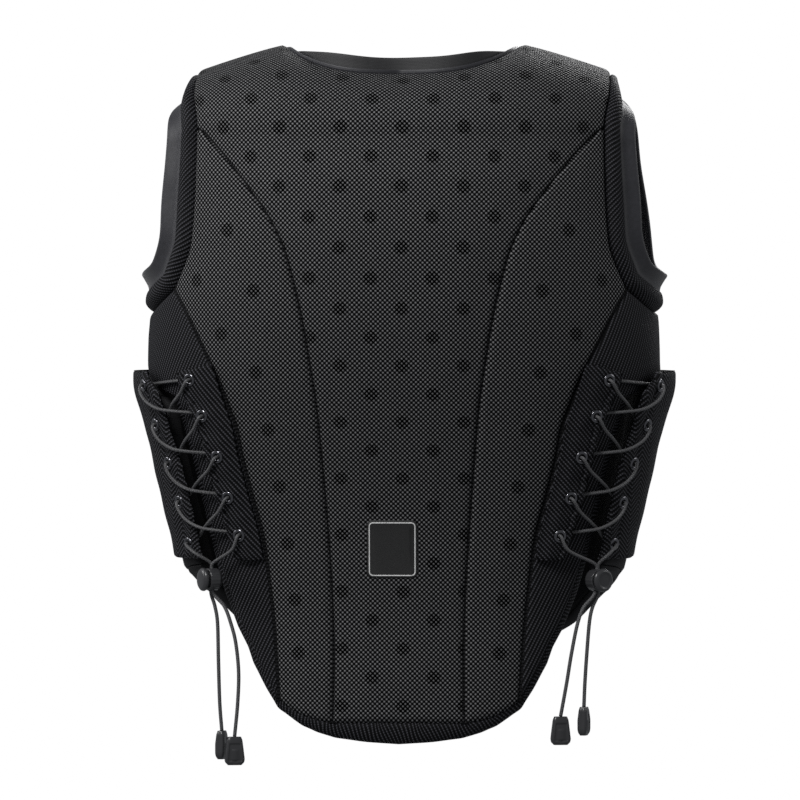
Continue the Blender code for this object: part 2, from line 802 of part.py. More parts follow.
def armhole_frames():
    """Root points and the directions of the two bands round the armhole."""
    loop = armhole_loop()
    root = skin(loop[:, 0], loop[:, 1])
    normal = skin_normal(loop[:, 0], loop[:, 1])
    tangent = loop_tangent(root)
    inward = unit(np.cross(tangent, normal))
    centre = root.mean(axis=0)
    flip = np.sign(np.sum(inward * (centre - root), axis=1))[:, None]
    inward = inward * flip
    toward = unit((centre - root) * [0, 1, 1])
    lean = np.radians(LEAN_AT_ENDS + LEAN_AT_SIDES * (1 - toward[:, 2] ** 4))
    narrow = 1 - BAND_NARROWING * np.maximum(0, -toward[:, 2])
    ahead = np.array([1.0, 0, 0])

    def leaning(turn):
        """Directions out of the armhole at the lean and a turn more, eased round the loop."""
        way = toward * np.cos(lean + turn)[:, None] + ahead * np.sin(lean + turn)[:, None]
        for _ in range(LEAN_EASING):
            way = (np.roll(way, 1, axis=0) + 2 * way + np.roll(way, -1, axis=0)) / 4
        return unit(way)

    gusset, trim = leaning(-GUSSET_LEAN_BACK), leaning(TRIM_LEAN_OUT)
    return root, normal, inward, tangent, gusset, trim, narrow[:, None]


def armhole_bands(side_name, side):
    """The coarse gusset round the armhole and the smooth trim beyond it."""
    root, normal, inward, tangent, gusset, trim, narrow = armhole_frames()
    start = root + inward * (SEAM_GAP / 2 + FIT_GAP)
    face = unit(np.cross(tangent, gusset))
    face = face * np.sign(np.sum(face * normal, axis=1))[:, None]
    tip = start + gusset * GUSSET_WIDTH * narrow
    rings = np.stack([
        start - normal * SEAM_DROP,
        start * 0.55 + tip * 0.45 + face * GUSSET_PUFF,
        tip - face * GUSSET_TIP_SINK,
        tip - face * GUSSET_TIP_WALL,
        start * 0.5 + tip * 0.5 - face * (GUSSET_TIP_WALL + 0.004),
        start - normal * FOAM_WALL,
    ], axis=1)
    sweep("armhole_gusset_" + side_name, rings, COARSE_MESH, True, side)
    cover = unit(np.cross(tangent, trim))
    cover = cover * np.sign(np.sum(cover * normal, axis=1))[:, None]
    base = tip + gusset * (3 * FIT_GAP) - face * (GUSSET_TIP_WALL / 2 + FIT_GAP)
    end = base + trim * TRIM_WIDTH * narrow
    band = np.stack([
        base + cover * TRIM_WALL / 2,
        end + cover * TRIM_WALL / 2,
        end + trim * 0.0007,
        end - cover * TRIM_WALL / 2,
        base - cover * TRIM_WALL / 2,
    ], axis=1)
    sweep("armhole_trim_" + side_name, band, LYCRA, True, side)


def neck_loop():
    """Angles and heights round the neck opening, from the centre back over one side and back."""
    neck = float(angle_of(NECK_HALF_WIDTH, RIDGE))
    half = []
    for angle in NECK_COLUMNS * neck:
        half.append((angle, neck_back_height(float(skin(angle, RIDGE)[0]))))
    half.append((neck, RIDGE - SHOULDER_GAP))
    for angle in np.linspace(180 - neck, 180.0, FRONT_COLUMNS - 2)[1:]:
        half.append((angle, neck_front_height(angle, 180 - neck)))
    half = np.array(half)
    return np.concatenate([half, half[-2:0:-1] * [-1, 1]])


def neck_bands():
    """The rolled binding along the neck edge and the smooth facing inside it."""
    loop = neck_loop()
    root = skin(loop[:, 0], loop[:, 1])
    normal = skin_normal(loop[:, 0], loop[:, 1])
    tangent = loop_tangent(root)
    inward = unit(np.cross(tangent, normal))
    inward = inward * np.sign(np.sum(inward * (root.mean(axis=0) + [0, 0, 0.05] - root), axis=1))[:, None]
    start = root + inward * NECK_GAP
    outer = start - normal * SEAM_DROP
    inner = start - normal * FOAM_WALL
    rings = np.stack([
        outer,
        outer + inward * NECK_BINDING_HEIGHT * 0.7 - normal * 0.0006,
        outer + inward * NECK_BINDING_HEIGHT - normal * 0.0030,
        inner + inward * NECK_BINDING_HEIGHT + normal * 0.0010,
        inner,
    ], axis=1)
    sweep("neck_binding", rings, LYCRA, True)
    behind = np.maximum(0, -root[:, 1] / BACK_DEPTH)[:, None]
    height = NECK_FACING_LOW + NECK_FACING_HEIGHT * np.minimum(1, behind * 2.0)
    foot = inner + inward * (NECK_BINDING_HEIGHT + NECK_GAP) + normal * NECK_FACING_OUT
    head = foot + normal * NECK_FACING_WALL
    rise = unit(inward * 0.8 + np.array([0, 0, 0.5]))
    band = np.stack([
        head,
        head + rise * height * 0.85,
        (head + foot) / 2 + rise * height,
        foot + rise * height * 0.85,
        foot,
    ], axis=1)
    sweep("neck_facing", band, LYCRA, True)


def roll_rings(edges, tips):
    """Half-round rings that cover a panel's cut edge and reach out to an outline."""
    rings = []
    for edge, tip in zip(edges, tips):
        normal = skin_normal(*edge)
        outer = skin(*edge) - normal * SEAM_DROP
        inner = skin(*edge) - normal * FOAM_WALL
        end = skin(*tip) - normal * (FOAM_WALL + SEAM_DROP) / 2
        middle = (outer + inner) / 2
        ring = []
        for turn in np.radians(np.linspace(90, -90, 7)):
            ring.append(middle + (end - middle) * math.cos(turn) + (outer - middle) * math.sin(turn))
        rings.append(ring)
    return rings


def back_hem_binding():
    """The rolled coarse-mesh edge round the tail, up to the flaps."""
    edges, tips = [], []
    centre = np.linspace(0, PRINCESS_SHARE, len(NECK_COLUMNS) + 3)
    middle = np.linspace(PRINCESS_SHARE, OUTER_SHARE, SIDE_COLUMNS)
    wing = np.linspace(OUTER_SHARE, 1.0, SEAM_ROWS - 3)
    half = np.concatenate([centre, middle[1:], wing[1:]])
    for share in np.concatenate([-half[:0:-1], half]):
        edge = hem_edge(abs(share), 0.0)
        tip = tail_point(abs(share))
        sign = 1 if share >= 0 else -1
        edges.append((sign * float(angle_of(*edge)), edge[1]))
        tips.append((sign * float(angle_of(*tip)), tip[1]))
    sweep("back_hem_binding", roll_rings(edges, tips), COARSE_MESH, False)


def front_hem_binding(name, side):
    """The rolled edge along one half of the front hem."""
    angles = front_hem_angles()
    heights = -FRONT_LENGTH * front_hem_share(angles)
    edges = [(a, h - FIT_GAP) for a, h in zip(angles, heights)]
    tips = [(a, h - FRONT_HEM_DEPTH) for a, h in zip(angles, heights)]
    sweep(name, roll_rings(edges, tips), FRONT_CLOTH, False, side)


def box(name, centre, size, look, turn=None):
    """A block with a small bevel."""
    shape = bmesh.new()
    bmesh.ops.create_cube(shape, size=1)
    bmesh.ops.scale(shape, vec=size, verts=shape.verts)
    bmesh.ops.bevel(shape, geom=shape.edges, offset=min(size) * 0.18, segments=1, affect="EDGES")
    matrix = Matrix.Translation(centre) @ (turn or Matrix.Identity(4))
    bmesh.ops.transform(shape, matrix=matrix, verts=shape.verts)
    mesh = bpy.data.meshes.new(name)
    shape.to_mesh(mesh)
    shape.free()
    obj = bpy.data.objects.new(name, mesh)
    mesh.materials.append(material(*look))
    bpy.context.scene.collection.objects.link(obj)
    return obj


def zip_seat(rows, middle, height, rise):
    """Place and turn of a block that rests on the zip chain's outer face."""
    upper = int(np.clip(np.searchsorted(rows, height), 1, len(rows) - 1))
    along = middle[upper] - middle[upper - 1]
    share = (height - rows[upper - 1]) / (rows[upper] - rows[upper - 1])
    along_unit = along / np.linalg.norm(along)
    outward = np.cross(np.array([1.0, 0, 0]), along_unit) * -1
    seat = middle[upper - 1] + along * share + outward * rise
    return seat, Matrix.Rotation(float(np.arctan2(-along_unit[1], along_unit[2])), 4, "X")


def front_zip():
    """The closed zip down the centre front, with its slider and pull."""
    neck = float(angle_of(NECK_HALF_WIDTH, RIDGE, front=True))
    top = neck_front_height(180.0, neck)
    rows = np.linspace(-FRONT_LENGTH, top - ZIP_TOP_INSET, ZIP_ROWS)
    middle = lifted(np.full(len(rows), 180.0), rows, np.full(len(rows), -ZIP_CHAIN_DEPTH))
    half = np.array([ZIP_CHAIN_WIDTH / 2, 0, 0])
    wall = np.array([0, ZIP_CHAIN_WALL, 0])
    rings = np.stack([middle - half, middle + half, middle + half - wall, middle - half - wall], axis=1)
    sweep("zip_chain", rings, FRONT_CLOTH, False)
    heights = middle[:, 2]
    slider_height = top - ZIP_SLIDER_DROP
    pull_height = slider_height - (ZIP_SLIDER_LENGTH + ZIP_PULL_LENGTH) / 2 - 2 * FIT_GAP
    rise = FIT_GAP + ZIP_SLIDER_HEIGHT / 2
    seat, turn = zip_seat(heights, middle, slider_height, rise)
    box("zip_slider", seat, (ZIP_SLIDER_WIDTH, ZIP_SLIDER_HEIGHT, ZIP_SLIDER_LENGTH), GUNMETAL, turn)
    seat, turn = zip_seat(heights, middle, pull_height, FIT_GAP + ZIP_PULL_WALL / 2)
    box("zip_pull", seat, (ZIP_SLIDER_WIDTH, ZIP_PULL_WALL, ZIP_PULL_LENGTH), GUNMETAL, turn)


def tab_lift(share):
    """Height of the tab's inner face over the wing: it rises from its seam to its free edge."""
    return 0.0012 + (TAB_LIFT - 0.0012) * smoothstep(share / 0.45)


def tab_seam_angle(z):
    """Angle of the line where the tab is sewn on."""
    return float(angle_of(float(outer_seam(z)) + 0.0022, z))


def tab_edge_angle(z):
    """Angle of the tab's free edge."""
    return angle_seen(float(tab_edge(z)), z, TAB_LIFT + TAB_WALL)


def flap_lift(angle, z):
    """Height of the flap's inner face over the body: it lifts at its free edge and flares on top."""
    open_side = smoothstep((89 - angle) / 15)
    flare = FLAP_FLARE * smoothstep((z + 0.315) / 0.055) * smoothstep((FLAP_SEAM_ANGLE - angle) / 14)
    low_flare = 0.0022 * smoothstep((FLAP_SEAM_ANGLE - angle) / 12)
    return FLAP_SEAM_LIFT + low_flare + (FLAP_LIFT - 0.0034) * open_side + flare * (1 - 0.55 * open_side)


def flap_edge_angle(z):
    """Angle of the flap's free edge, as seen from behind."""
    angle = 75.0
    for _ in range(8):
        angle = angle_seen(float(flap_edge(z)), z, float(flap_lift(angle, z)) + FLAP_WALL)
    return angle


def thin_sheet(name, angle, height, lift, wall, look, side):
    """A sheet of cloth over the skin, at a lift that changes over it."""
    inner = lifted(angle, height, lift)
    outer = lifted(angle, height, lift + wall)
    return slab(name, outer, inner, look, side)


def eyelet_seats():
    """Angle, height and cloth lift of each eyelet, inner row then outer row."""
    seats = {"inner": [], "outer": []}
    for inner_across, inner_down, outer_across, outer_down in EYELETS:
        z = -BACK_LENGTH * inner_down
        angle = angle_seen(CHEST_HALF_WIDTH * inner_across, z, TAB_LIFT + TAB_WALL)
        seats["inner"].append((angle, z, TAB_LIFT, TAB_WALL))
        z = -BACK_LENGTH * outer_down
        angle = 75.0
        for _ in range(8):
            lift = float(flap_lift(angle, z)) + FLAP_WALL
            angle = angle_seen(CHEST_HALF_WIDTH * outer_across, z, lift)
        seats["outer"].append((angle, z, float(flap_lift(angle, z)), FLAP_WALL))
    return seats


SEATS = eyelet_seats()


def seat_matrix(seat, lift):
    """Places a piece on the cloth at an eyelet, its Z along the cloth's outward normal."""
    angle, z = seat[0], seat[1]
    if seat in SEATS["outer"]:
        near = [lifted(angle + turn, z + rise, flap_lift(angle + turn, z + rise))
                for turn, rise in ((SEAT_TURN, 0), (-SEAT_TURN, 0), (0, SEAT_STEP), (0, -SEAT_STEP))]
        across, up = near[0] - near[1], near[2] - near[3]
        normal = unit(np.cross(across, up))
    else:
        normal = skin_normal(angle, z)
    point = lifted(angle, z, seat[2]) + normal * lift
    axis = Vector(normal)
    return Matrix.Translation(Vector(point)) @ axis.to_track_quat("Z", "Y").to_matrix().to_4x4()


def mirrored(matrix, side):
    """The same placing on the wearer's left when side is -1."""
    return Matrix.Diagonal((side, 1, 1, 1)) @ matrix


def cut(obj, matrix, radius, depth, sides=10):
    """Cuts a round hole through a piece, along Z of the placing."""
    shape = bmesh.new()
    bmesh.ops.create_cone(shape, cap_ends=True, segments=sides, radius1=radius, radius2=radius, depth=depth)
    bmesh.ops.transform(shape, matrix=matrix, verts=shape.verts)
    if matrix.determinant() < 0:
        bmesh.ops.reverse_faces(shape, faces=shape.faces)
    mesh = bpy.data.meshes.new(obj.name + "_cutter")
    shape.to_mesh(mesh)
    shape.free()
    cutter = bpy.data.objects.new(mesh.name, mesh)
    cutter.hide_render = True
    cutter.display_type = "WIRE"
    bpy.context.scene.collection.objects.link(cutter)
    hole = obj.modifiers.new("hole", "BOOLEAN")
    hole.object = cutter
    hole.operation = "DIFFERENCE"


def lacing_tab(name, side):
    """The coarse-mesh tab sewn on at the outer seam, with a row of holes."""
    rows = np.linspace(-LACING_BOTTOM, -LACING_TOP - 0.0005, 8)
    columns = np.linspace(0, 1, 5)
    angle = np.empty((len(rows), len(columns)))
    height = np.empty_like(angle)
    for i, z in enumerate(rows):
        seam, edge = tab_seam_angle(z), tab_edge_angle(z)
        for j, c in enumerate(columns):
            top_slope = 0.008 * (1 - c) * smoothstep((i - 5) / 2)
            angle[i, j] = seam + c * (edge - seam)
            height[i, j] = z + top_slope
    lift = tab_lift(np.broadcast_to(columns, angle.shape))
    tab = thin_sheet(name, angle, height, lift, TAB_WALL, COARSE_MESH, side)
    for seat in SEATS["inner"]:
        cut(tab, mirrored(seat_matrix(seat, TAB_WALL / 2), side), EYELET_BORE + 0.0003, 0.010, 8)
    return tab


def lacing_flap(name, side):
    """The flap that comes round from the front, with a row of holes."""
    rows = np.linspace(-LACING_BOTTOM, -LACING_TOP, 9)
    columns = np.array([0, 0.16, 0.32, 0.5, 0.72, 1.0])
    angle = np.empty((len(rows), len(columns)))
    height = np.empty_like(angle)
    for i, z in enumerate(rows):
        edge = flap_edge_angle(z)
        angle[i] = edge + columns * (FLAP_SEAM_ANGLE - edge)
        height[i] = z
    flap = thin_sheet(name, angle, height, flap_lift(angle, height), FLAP_WALL, COARSE_MESH, side)
    for seat in SEATS["outer"]:
        cut(flap, mirrored(seat_matrix(seat, FLAP_WALL / 2), side), EYELET_BORE + 0.0003, 0.010, 8)
    return flap


def eyelet(name, seat, side):
    """A flat metal ring on the cloth round a hole."""
    matrix = mirrored(seat_matrix(seat, seat[3] + 0.0003), side)
    profile = [
        (EYELET_BORE, 0.0),
        (EYELET_OUTER, 0.0),
        (EYELET_OUTER - 0.0006, EYELET_HEIGHT * 0.8),
        (EYELET_BORE + 0.0006, EYELET_HEIGHT),
    ]
    rings = []
    for turn in np.arange(8) * math.tau / 8:
        ring = [matrix @ Vector((r * math.cos(turn), r * math.sin(turn), h)) for r, h in profile]
        rings.append([tuple(p) for p in ring])
    sweep(name, rings, GUNMETAL, True)


def through_curve(points, spacing):
    """Even points along a smooth curve through the given ones."""
    points = np.asarray(points, float)
    padded = np.concatenate([[2 * points[0] - points[1]], points, [2 * points[-1] - points[-2]]])
    found = []
    for i in range(1, len(padded) - 2):
        a, b, c, d = padded[i - 1:i + 3]
        count = max(1, round(float(np.linalg.norm(c - b)) / spacing))
        for t in np.arange(count) / count:
            found.append(0.5 * (2 * b + (c - a) * t + (2 * a - 5 * b + 4 * c - d) * t**2
                                + (3 * b - a - 3 * c + d) * t**3))
    found.append(points[-1])
    return found


def tube(name, points, look):
    """A round cord along the points."""
    curve = bpy.data.curves.new(name, "CURVE")
    curve.dimensions = "3D"
    curve.bevel_depth = CORD_DIAMETER / 2
    curve.bevel_resolution = 2
    curve.use_fill_caps = True
    line = curve.splines.new("POLY")
    line.points.add(len(points) - 1)
    for point, place in zip(line.points, points):
        point.co = (*place, 1)
    obj = bpy.data.objects.new(name, curve)
    curve.materials.append(material(*look))
    bpy.context.scene.collection.objects.link(obj)
    return obj


def toggle_frame(side_name, side):
    """Centre of the cords' crossing in the toggle, its axis and the way across it."""
    mean_x = (TOGGLE_X["left"] + TOGGLE_X["right"]) / 2
    angle = angle_seen(mean_x, -TOGGLE_DOWN, TOGGLE_LIFT)
    centre = Vector(lifted(angle, -TOGGLE_DOWN, TOGGLE_LIFT))
    centre.x = TOGGLE_X[side_name] * side
    turn = math.radians(TOGGLE_TURN[side_name])
    axis = Vector((side * math.sin(turn), -math.cos(turn), 0))
    across = Vector((-axis.y, axis.x, 0))
    if across.x * side < 0:
        across = -across
    return centre, axis, across


def strand(route, start, end):
    """Points of one strand from the top of an eyelet to the underside of the next."""
    found = []
    for across, down, height in route:
        angle = start[0] + (end[0] - start[0]) * across
        z = start[1] + (end[1] - start[1]) * down
        top = start[2] + start[3] + STRAND_OVER_SEAT
        found.append(lifted(angle, z, STRAND_LOW + (top - STRAND_LOW) * height))
    return found


def lace_route(side_name):
    """Route points of the whole lace: from the toggle through all eyelets and back."""
    side = 1 if side_name == "right" else -1
    centre, axis, across = toggle_frame(side_name, side)
    centre = Vector((centre.x * side, centre.y, centre.z))
    half = Vector((abs(across.x), across.y, 0)) * TOGGLE_CORD_SPACING / 2

    def through(seat):
        """The short way through one eyelet."""
        rise = (-CORD_BELOW_SEAT, seat[3] + CORD_ABOVE_SEAT)
        return [np.array(seat_matrix(seat, height).translation) for height in rise]

    def run(rows):
        """One side's strands from the top eyelet down: rows name the row that each starts on."""
        points = []
        for k, row in enumerate(rows):
            start = SEATS[row][k]
            points += through(start)
            if k < len(rows) - 1:
                route = INNER_STRAND if row == "inner" else OUTER_STRAND
                points += strand(route, start, SEATS[rows[k + 1]][k + 1])
        return points

    down_one = run(["inner", "outer", "inner", "outer", "inner"])
    down_two = run(["outer", "inner", "outer", "inner", "outer"])
    top_inner, top_outer = SEATS["inner"][0], SEATS["outer"][0]
    bar = []
    for share in (0.18, 0.40, 0.62, 0.84):
        angle = top_inner[0] + (top_outer[0] - top_inner[0]) * share
        z = top_inner[1] + (top_outer[1] - top_inner[1]) * share
        bar.append(lifted(angle, z, BAR_LIFT + BAR_ARCH * math.sin(share * math.pi)))

    def to_toggle(seat, offset, lean_shares):
        """The last stretch, down into the cord lock."""
        start = np.array(seat_matrix(seat, seat[3] + 0.0040) @ Vector((0, 0, 0)))
        end = np.array(centre + offset)
        top = end + [0, 0, TOGGLE_RADIUS + 0.004]
        lean = start + (top - start) * lean_shares
        return [lean, top, end + [0, 0, TOGGLE_RADIUS * 0.6], end + [0, 0, 0.0003]]

    inner_end = to_toggle(SEATS["inner"][4], -half, [0.22, 0.22, 0.50])
    outer_end = to_toggle(SEATS["outer"][4], half, [0.42, 1.05, 0.42])
    route = inner_end[::-1] + down_one[::-1] + bar + down_two + outer_end
    return [np.array(p) * [side, 1, 1] for p in route]


def solid_spun(name, profile, matrix, look, sides):
    """A turned solid whose profile starts and ends on the axis."""
    points = [matrix @ Vector((0, 0, profile[0][1]))]
    faces = []
    for r, h in profile[1:-1]:
        for turn in np.arange(sides) * math.tau / sides:
            points.append(matrix @ Vector((r * math.cos(turn), r * math.sin(turn), h)))
    points.append(matrix @ Vector((0, 0, profile[-1][1])))
    rows = len(profile) - 2
    for j in range(sides):
        k = (j + 1) % sides
        faces.append((0, 1 + k, 1 + j))
        for i in range(rows - 1):
            a, b = 1 + i * sides + j, 1 + i * sides + k
            faces.append((a, b, b + sides, a + sides))
        faces.append((1 + (rows - 1) * sides + j, 1 + (rows - 1) * sides + k, len(points) - 1))
    return add_mesh(name, [tuple(p) for p in points], faces, look)


def slot(obj, matrix, size):
    """Cuts a block-shaped slot."""
    shape = bmesh.new()
    bmesh.ops.create_cube(shape, size=1)
    bmesh.ops.scale(shape, vec=size, verts=shape.verts)
    bmesh.ops.transform(shape, matrix=matrix, verts=shape.verts)
    mesh = bpy.data.meshes.new(obj.name + "_slot")
    shape.to_mesh(mesh)
    shape.free()
    cutter = bpy.data.objects.new(mesh.name, mesh)
    cutter.hide_render = True
    cutter.display_type = "WIRE"
    bpy.context.scene.collection.objects.link(cutter)
    hole = obj.modifiers.new("slot", "BOOLEAN")
    hole.object = cutter
    hole.operation = "DIFFERENCE"


def toggle(side_name, side):
    """The cord lock: a cup and a button whose stem slides in it, both slotted for the cords."""
    centre, axis, across = toggle_frame(side_name, side)
    basis = Matrix((across, Vector((0, 0, 1)), axis)).transposed()
    if basis.determinant() < 0:
        basis = Matrix((-across, Vector((0, 0, 1)), axis)).transposed()
    slot_half = CORD_DIAMETER / 2 + TOGGLE_CLEARANCE
    deep_wall = 0.0008
    stem_end = -(slot_half + deep_wall)
    rim = stem_end + TOGGLE_STEM_DEPTH
    floor_in = stem_end - TOGGLE_TRAVEL - TOGGLE_CLEARANCE
    floor_out = floor_in - TOGGLE_FLOOR
    bore = TOGGLE_RADIUS - TOGGLE_WALL
    place = Matrix.Translation(centre) @ basis.to_4x4()
    barrel = solid_spun("toggle_barrel_" + side_name, [
        (0, floor_out), (TOGGLE_RADIUS - 0.0022, floor_out), (TOGGLE_RADIUS, floor_out + 0.0024),
        (TOGGLE_RADIUS, rim - 0.0006), (TOGGLE_RADIUS - 0.0005, rim), (bore, rim), (bore, floor_in),
        (0, floor_in),
    ], place, PLASTIC, 16)
    wide = TOGGLE_CORD_SPACING + 2 * slot_half
    slot(barrel, place, (wide, 3 * TOGGLE_RADIUS, 2 * slot_half))
    head = rim + TOGGLE_TRAVEL + 0.0002
    stem = bore - TOGGLE_CLEARANCE
    button = solid_spun("toggle_button_" + side_name, [
        (0, stem_end), (stem, stem_end), (stem, head), (TOGGLE_HEAD_RADIUS - 0.0004, head),
        (TOGGLE_HEAD_RADIUS, head + 0.0006), (TOGGLE_HEAD_RADIUS, head + TOGGLE_HEAD_HEIGHT * 0.5),
        (TOGGLE_HEAD_RADIUS - 0.0022, head + TOGGLE_HEAD_HEIGHT * 0.9),
        (0, head + TOGGLE_HEAD_HEIGHT),
    ], place, PLASTIC, 16)
    long_slot = 2 * slot_half + TOGGLE_TRAVEL
    shift = Matrix.Translation((0, 0, TOGGLE_TRAVEL / 2))
    slot(button, place @ shift, (wide, 3 * TOGGLE_RADIUS, long_slot))


def cord_end(name, tip, turn):
    """A clamshell cord end, hung under the cord's tip and turned about it."""
    matrix = Matrix.Translation(Vector(tip) - Vector((0, 0, FIT_GAP))) @ Matrix.Rotation(turn, 4, "Z")
    sections = (
        # down, half width, half wall
        (0.0, 0.62, 0.60),
        (0.10, 0.76, 0.78),
        (0.45, 0.88, 1.00),
        (0.80, 1.00, 0.95),
        (0.93, 0.92, 0.80),
        (1.0, 0.62, 0.50),
    )
    rings = []
    for down, width, wall in sections:
        ring = []
        for angle in np.radians(np.arange(12) * 30.0 + 15):
            x = math.copysign(abs(math.cos(angle)) ** 0.6, math.cos(angle)) * width * END_WIDTH / 2
            y = math.copysign(abs(math.sin(angle)) ** 0.6, math.sin(angle)) * wall * END_WALL / 2
            ring.append(tuple(matrix @ Vector((x, y, -down * END_LENGTH))))
        rings.append(ring)
    sweep(name, rings, PLASTIC, False)


def build():
    """Makes every piece of the vest."""
    for obj in list(bpy.data.objects):
        bpy.data.objects.remove(obj)
    back_centre_panel()
    neck_bands()
    back_hem_binding()
    front_zip()
    for side_name, side in (("left", -1), ("right", 1)):
        back_side_panel("back_side_panel_" + side_name, side)
        side_wing("side_wing_" + side_name, side)
        front_panel("front_panel_" + side_name, side)
        front_hem_binding("front_hem_binding_" + side_name, side)
        armhole_bands(side_name, side)
        lacing_tab("lacing_tab_" + side_name, side)
        lacing_flap("lacing_flap_" + side_name, side)
        for row in ("inner", "outer"):
            for k, seat in enumerate(SEATS[row]):
                eyelet(f"eyelet_{side_name}_{row}_{k + 1}", seat, side)
        tube("lace_" + side_name, through_curve(lace_route(side_name), 0.012), CORD)
        toggle(side_name, side)
        for place in ("outer", "inner"):
            route = TAIL_ROUTES[f"{side_name}_{place}"]
            tube(f"lace_tail_{side_name}_{place}", through_curve(route, 0.010), CORD)
            turn = math.radians({"outer": 78.0, "inner": 12.0}[place])
            cord_end(f"cord_end_{side_name}_{place}", route[-1], turn)


build()
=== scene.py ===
# %% [markdown]
# # A laced riding body protector
#
# The CAD solids give the frame. This lesson dresses them: it makes each panel, band, cord and
# fitting again as a fine surface, in the same places, and gives each one its cloth or finish.
# Every shape is a formula worked out as whole numpy arrays, so a size is changed in one place.

# %% Load the frame
import math

import bpy
import numpy as np
from mathutils import Matrix, Vector


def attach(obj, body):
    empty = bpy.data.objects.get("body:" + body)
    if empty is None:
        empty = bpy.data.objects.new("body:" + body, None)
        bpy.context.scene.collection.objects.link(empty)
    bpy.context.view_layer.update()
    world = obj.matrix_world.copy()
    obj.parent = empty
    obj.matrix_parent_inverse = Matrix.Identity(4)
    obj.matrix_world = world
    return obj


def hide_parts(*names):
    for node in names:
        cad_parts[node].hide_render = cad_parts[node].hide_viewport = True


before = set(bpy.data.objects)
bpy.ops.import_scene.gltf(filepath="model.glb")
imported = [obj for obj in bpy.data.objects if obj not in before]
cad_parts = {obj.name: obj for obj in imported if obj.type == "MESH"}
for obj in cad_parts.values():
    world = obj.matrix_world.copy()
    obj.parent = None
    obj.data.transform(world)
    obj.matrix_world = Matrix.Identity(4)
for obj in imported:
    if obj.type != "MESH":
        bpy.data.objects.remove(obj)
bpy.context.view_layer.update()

# %% [markdown]
# The camera comes first. It stands well back with a long lens, a little to the wearer's right
# of the centre back, and nearly level with the middle of the vest. A near camera would show more
# of the sides than the picture does, so distance was chosen and the lens follows from it.

# %% Camera
PIXEL = 0.000817
CAMERA_TURN = math.radians(2.7)
CAMERA_LIFT = math.radians(1.2)
CAMERA_DISTANCE = 6.0
TRUE_SCALE_DEPTH = 0.060
SENSOR = 0.036
AIM = Vector((-0.0036, 0.0, -0.2772))

away = Vector((math.sin(CAMERA_TURN) * math.cos(CAMERA_LIFT),
               -math.cos(CAMERA_TURN) * math.cos(CAMERA_LIFT), math.sin(CAMERA_LIFT)))
lens = bpy.data.cameras.new("camera")
lens.sensor_width = SENSOR * 1000
lens.lens = SENSOR * 1000 * CAMERA_DISTANCE / (800 * PIXEL)
camera = bpy.data.objects.new("camera", lens)
camera.location = AIM + away * (CAMERA_DISTANCE + TRUE_SCALE_DEPTH)
camera.rotation_euler = (-away).to_track_quat("-Z", "Y").to_euler()
bpy.context.scene.collection.objects.link(camera)
bpy.context.scene.camera = camera
print("lens:", round(lens.lens), "mm")

# %% [markdown]
# The body form is one skin. Its half width and depth come from a table of sections, and above
# the shoulder blades it rolls over to the shoulder ridge like a quarter of an ellipse. A point
# on it is named by an angle round the body and a height along it. Panels could each be modelled
# by hand, but on one skin neighbours meet without a step and seams are just curves.

# %% The skin
BACK_LENGTH, FRONT_LENGTH = 0.554, 0.490
CHEST_HALF_WIDTH, BACK_DEPTH, FRONT_DEPTH = 0.2095, 0.133, 0.124
ROUNDNESS = 2.4
FOAM_WALL, SEAM_DROP = 0.016, 0.0028
FIT_GAP = 0.0004
SHOULDER_TOP, SHOULDER_FALL, SHOULDER_HALF_WIDTH = 0.0155, 0.0215, 0.170
NECK_HALF_WIDTH, NECK_BACK_DROP, NECK_FRONT_DROP, NECK_DIP = 0.098, 0.0237, 0.092, 0.0115
ROLL_START, ROLL_LENGTH = 0.060, 0.150
RIDGE = ROLL_LENGTH - ROLL_START

SECTIONS = (
    # down, half_width, back, front
    (0.108, 0.955, 0.887, 0.770), (0.181, 0.955, 0.970, 0.887), (0.271, 0.972, 1.000, 0.968),
    (0.361, 0.998, 0.985, 1.000), (0.451, 1.006, 0.940, 0.984), (0.542, 0.984, 0.872, 0.944),
    (0.632, 0.936, 0.805, 0.903), (0.722, 0.880, 0.759, 0.879), (0.812, 0.842, 0.744, 0.871),
    (0.903, 0.822, 0.767, 0.871), (1.010, 0.812, 0.812, 0.871),
)
print("back and front lengths:", BACK_LENGTH, FRONT_LENGTH, "m")


# %% Smooth tables
def smooth_table(rows, key, value):
    """A smooth curve through two columns of a table: cubic pieces with limited slopes."""
    data = sorted((row[key], row[value]) for row in rows)
    xs = np.array([pair[0] for pair in data])
    ys = np.array([pair[1] for pair in data])
    step = np.diff(xs)
    rise = np.diff(ys) / step
    slope = np.empty_like(xs)
    slope[0], slope[-1] = rise[0], rise[-1]
    same_way = rise[:-1] * rise[1:] > 0
    slope[1:-1] = np.where(same_way, 2 * rise[:-1] * rise[1:] / (rise[:-1] + rise[1:] + 1e-12), 0)

    def curve(x):
        x = np.clip(np.asarray(x, float), xs[0], xs[-1])
        i = np.clip(np.searchsorted(xs, x) - 1, 0, len(step) - 1)
        t = (x - xs[i]) / step[i]
        start = ys[i] * (1 + 2 * t) * (1 - t) ** 2 + ys[i + 1] * t**2 * (3 - 2 * t)
        return start + step[i] * (slope[i] * t * (1 - t) ** 2 - slope[i + 1] * t**2 * (1 - t))

    return curve


def smoothstep(x):
    """0 below 0, 1 above 1, and an even rise between."""
    x = np.clip(x, 0, 1)
    return x * x * (3 - 2 * x)


def across_at(rows):
    """A table's curve from a height to a half width, both in metres."""
    curve = smooth_table(rows, 0, 1)
    return lambda z: CHEST_HALF_WIDTH * curve(-np.asarray(z) / BACK_LENGTH)


half_width_at = across_at(SECTIONS)
back_share = smooth_table(SECTIONS, 0, 2)
front_share = smooth_table(SECTIONS, 0, 3)
print("half width under the arms:", round(float(half_width_at(-0.21)), 4), "m")


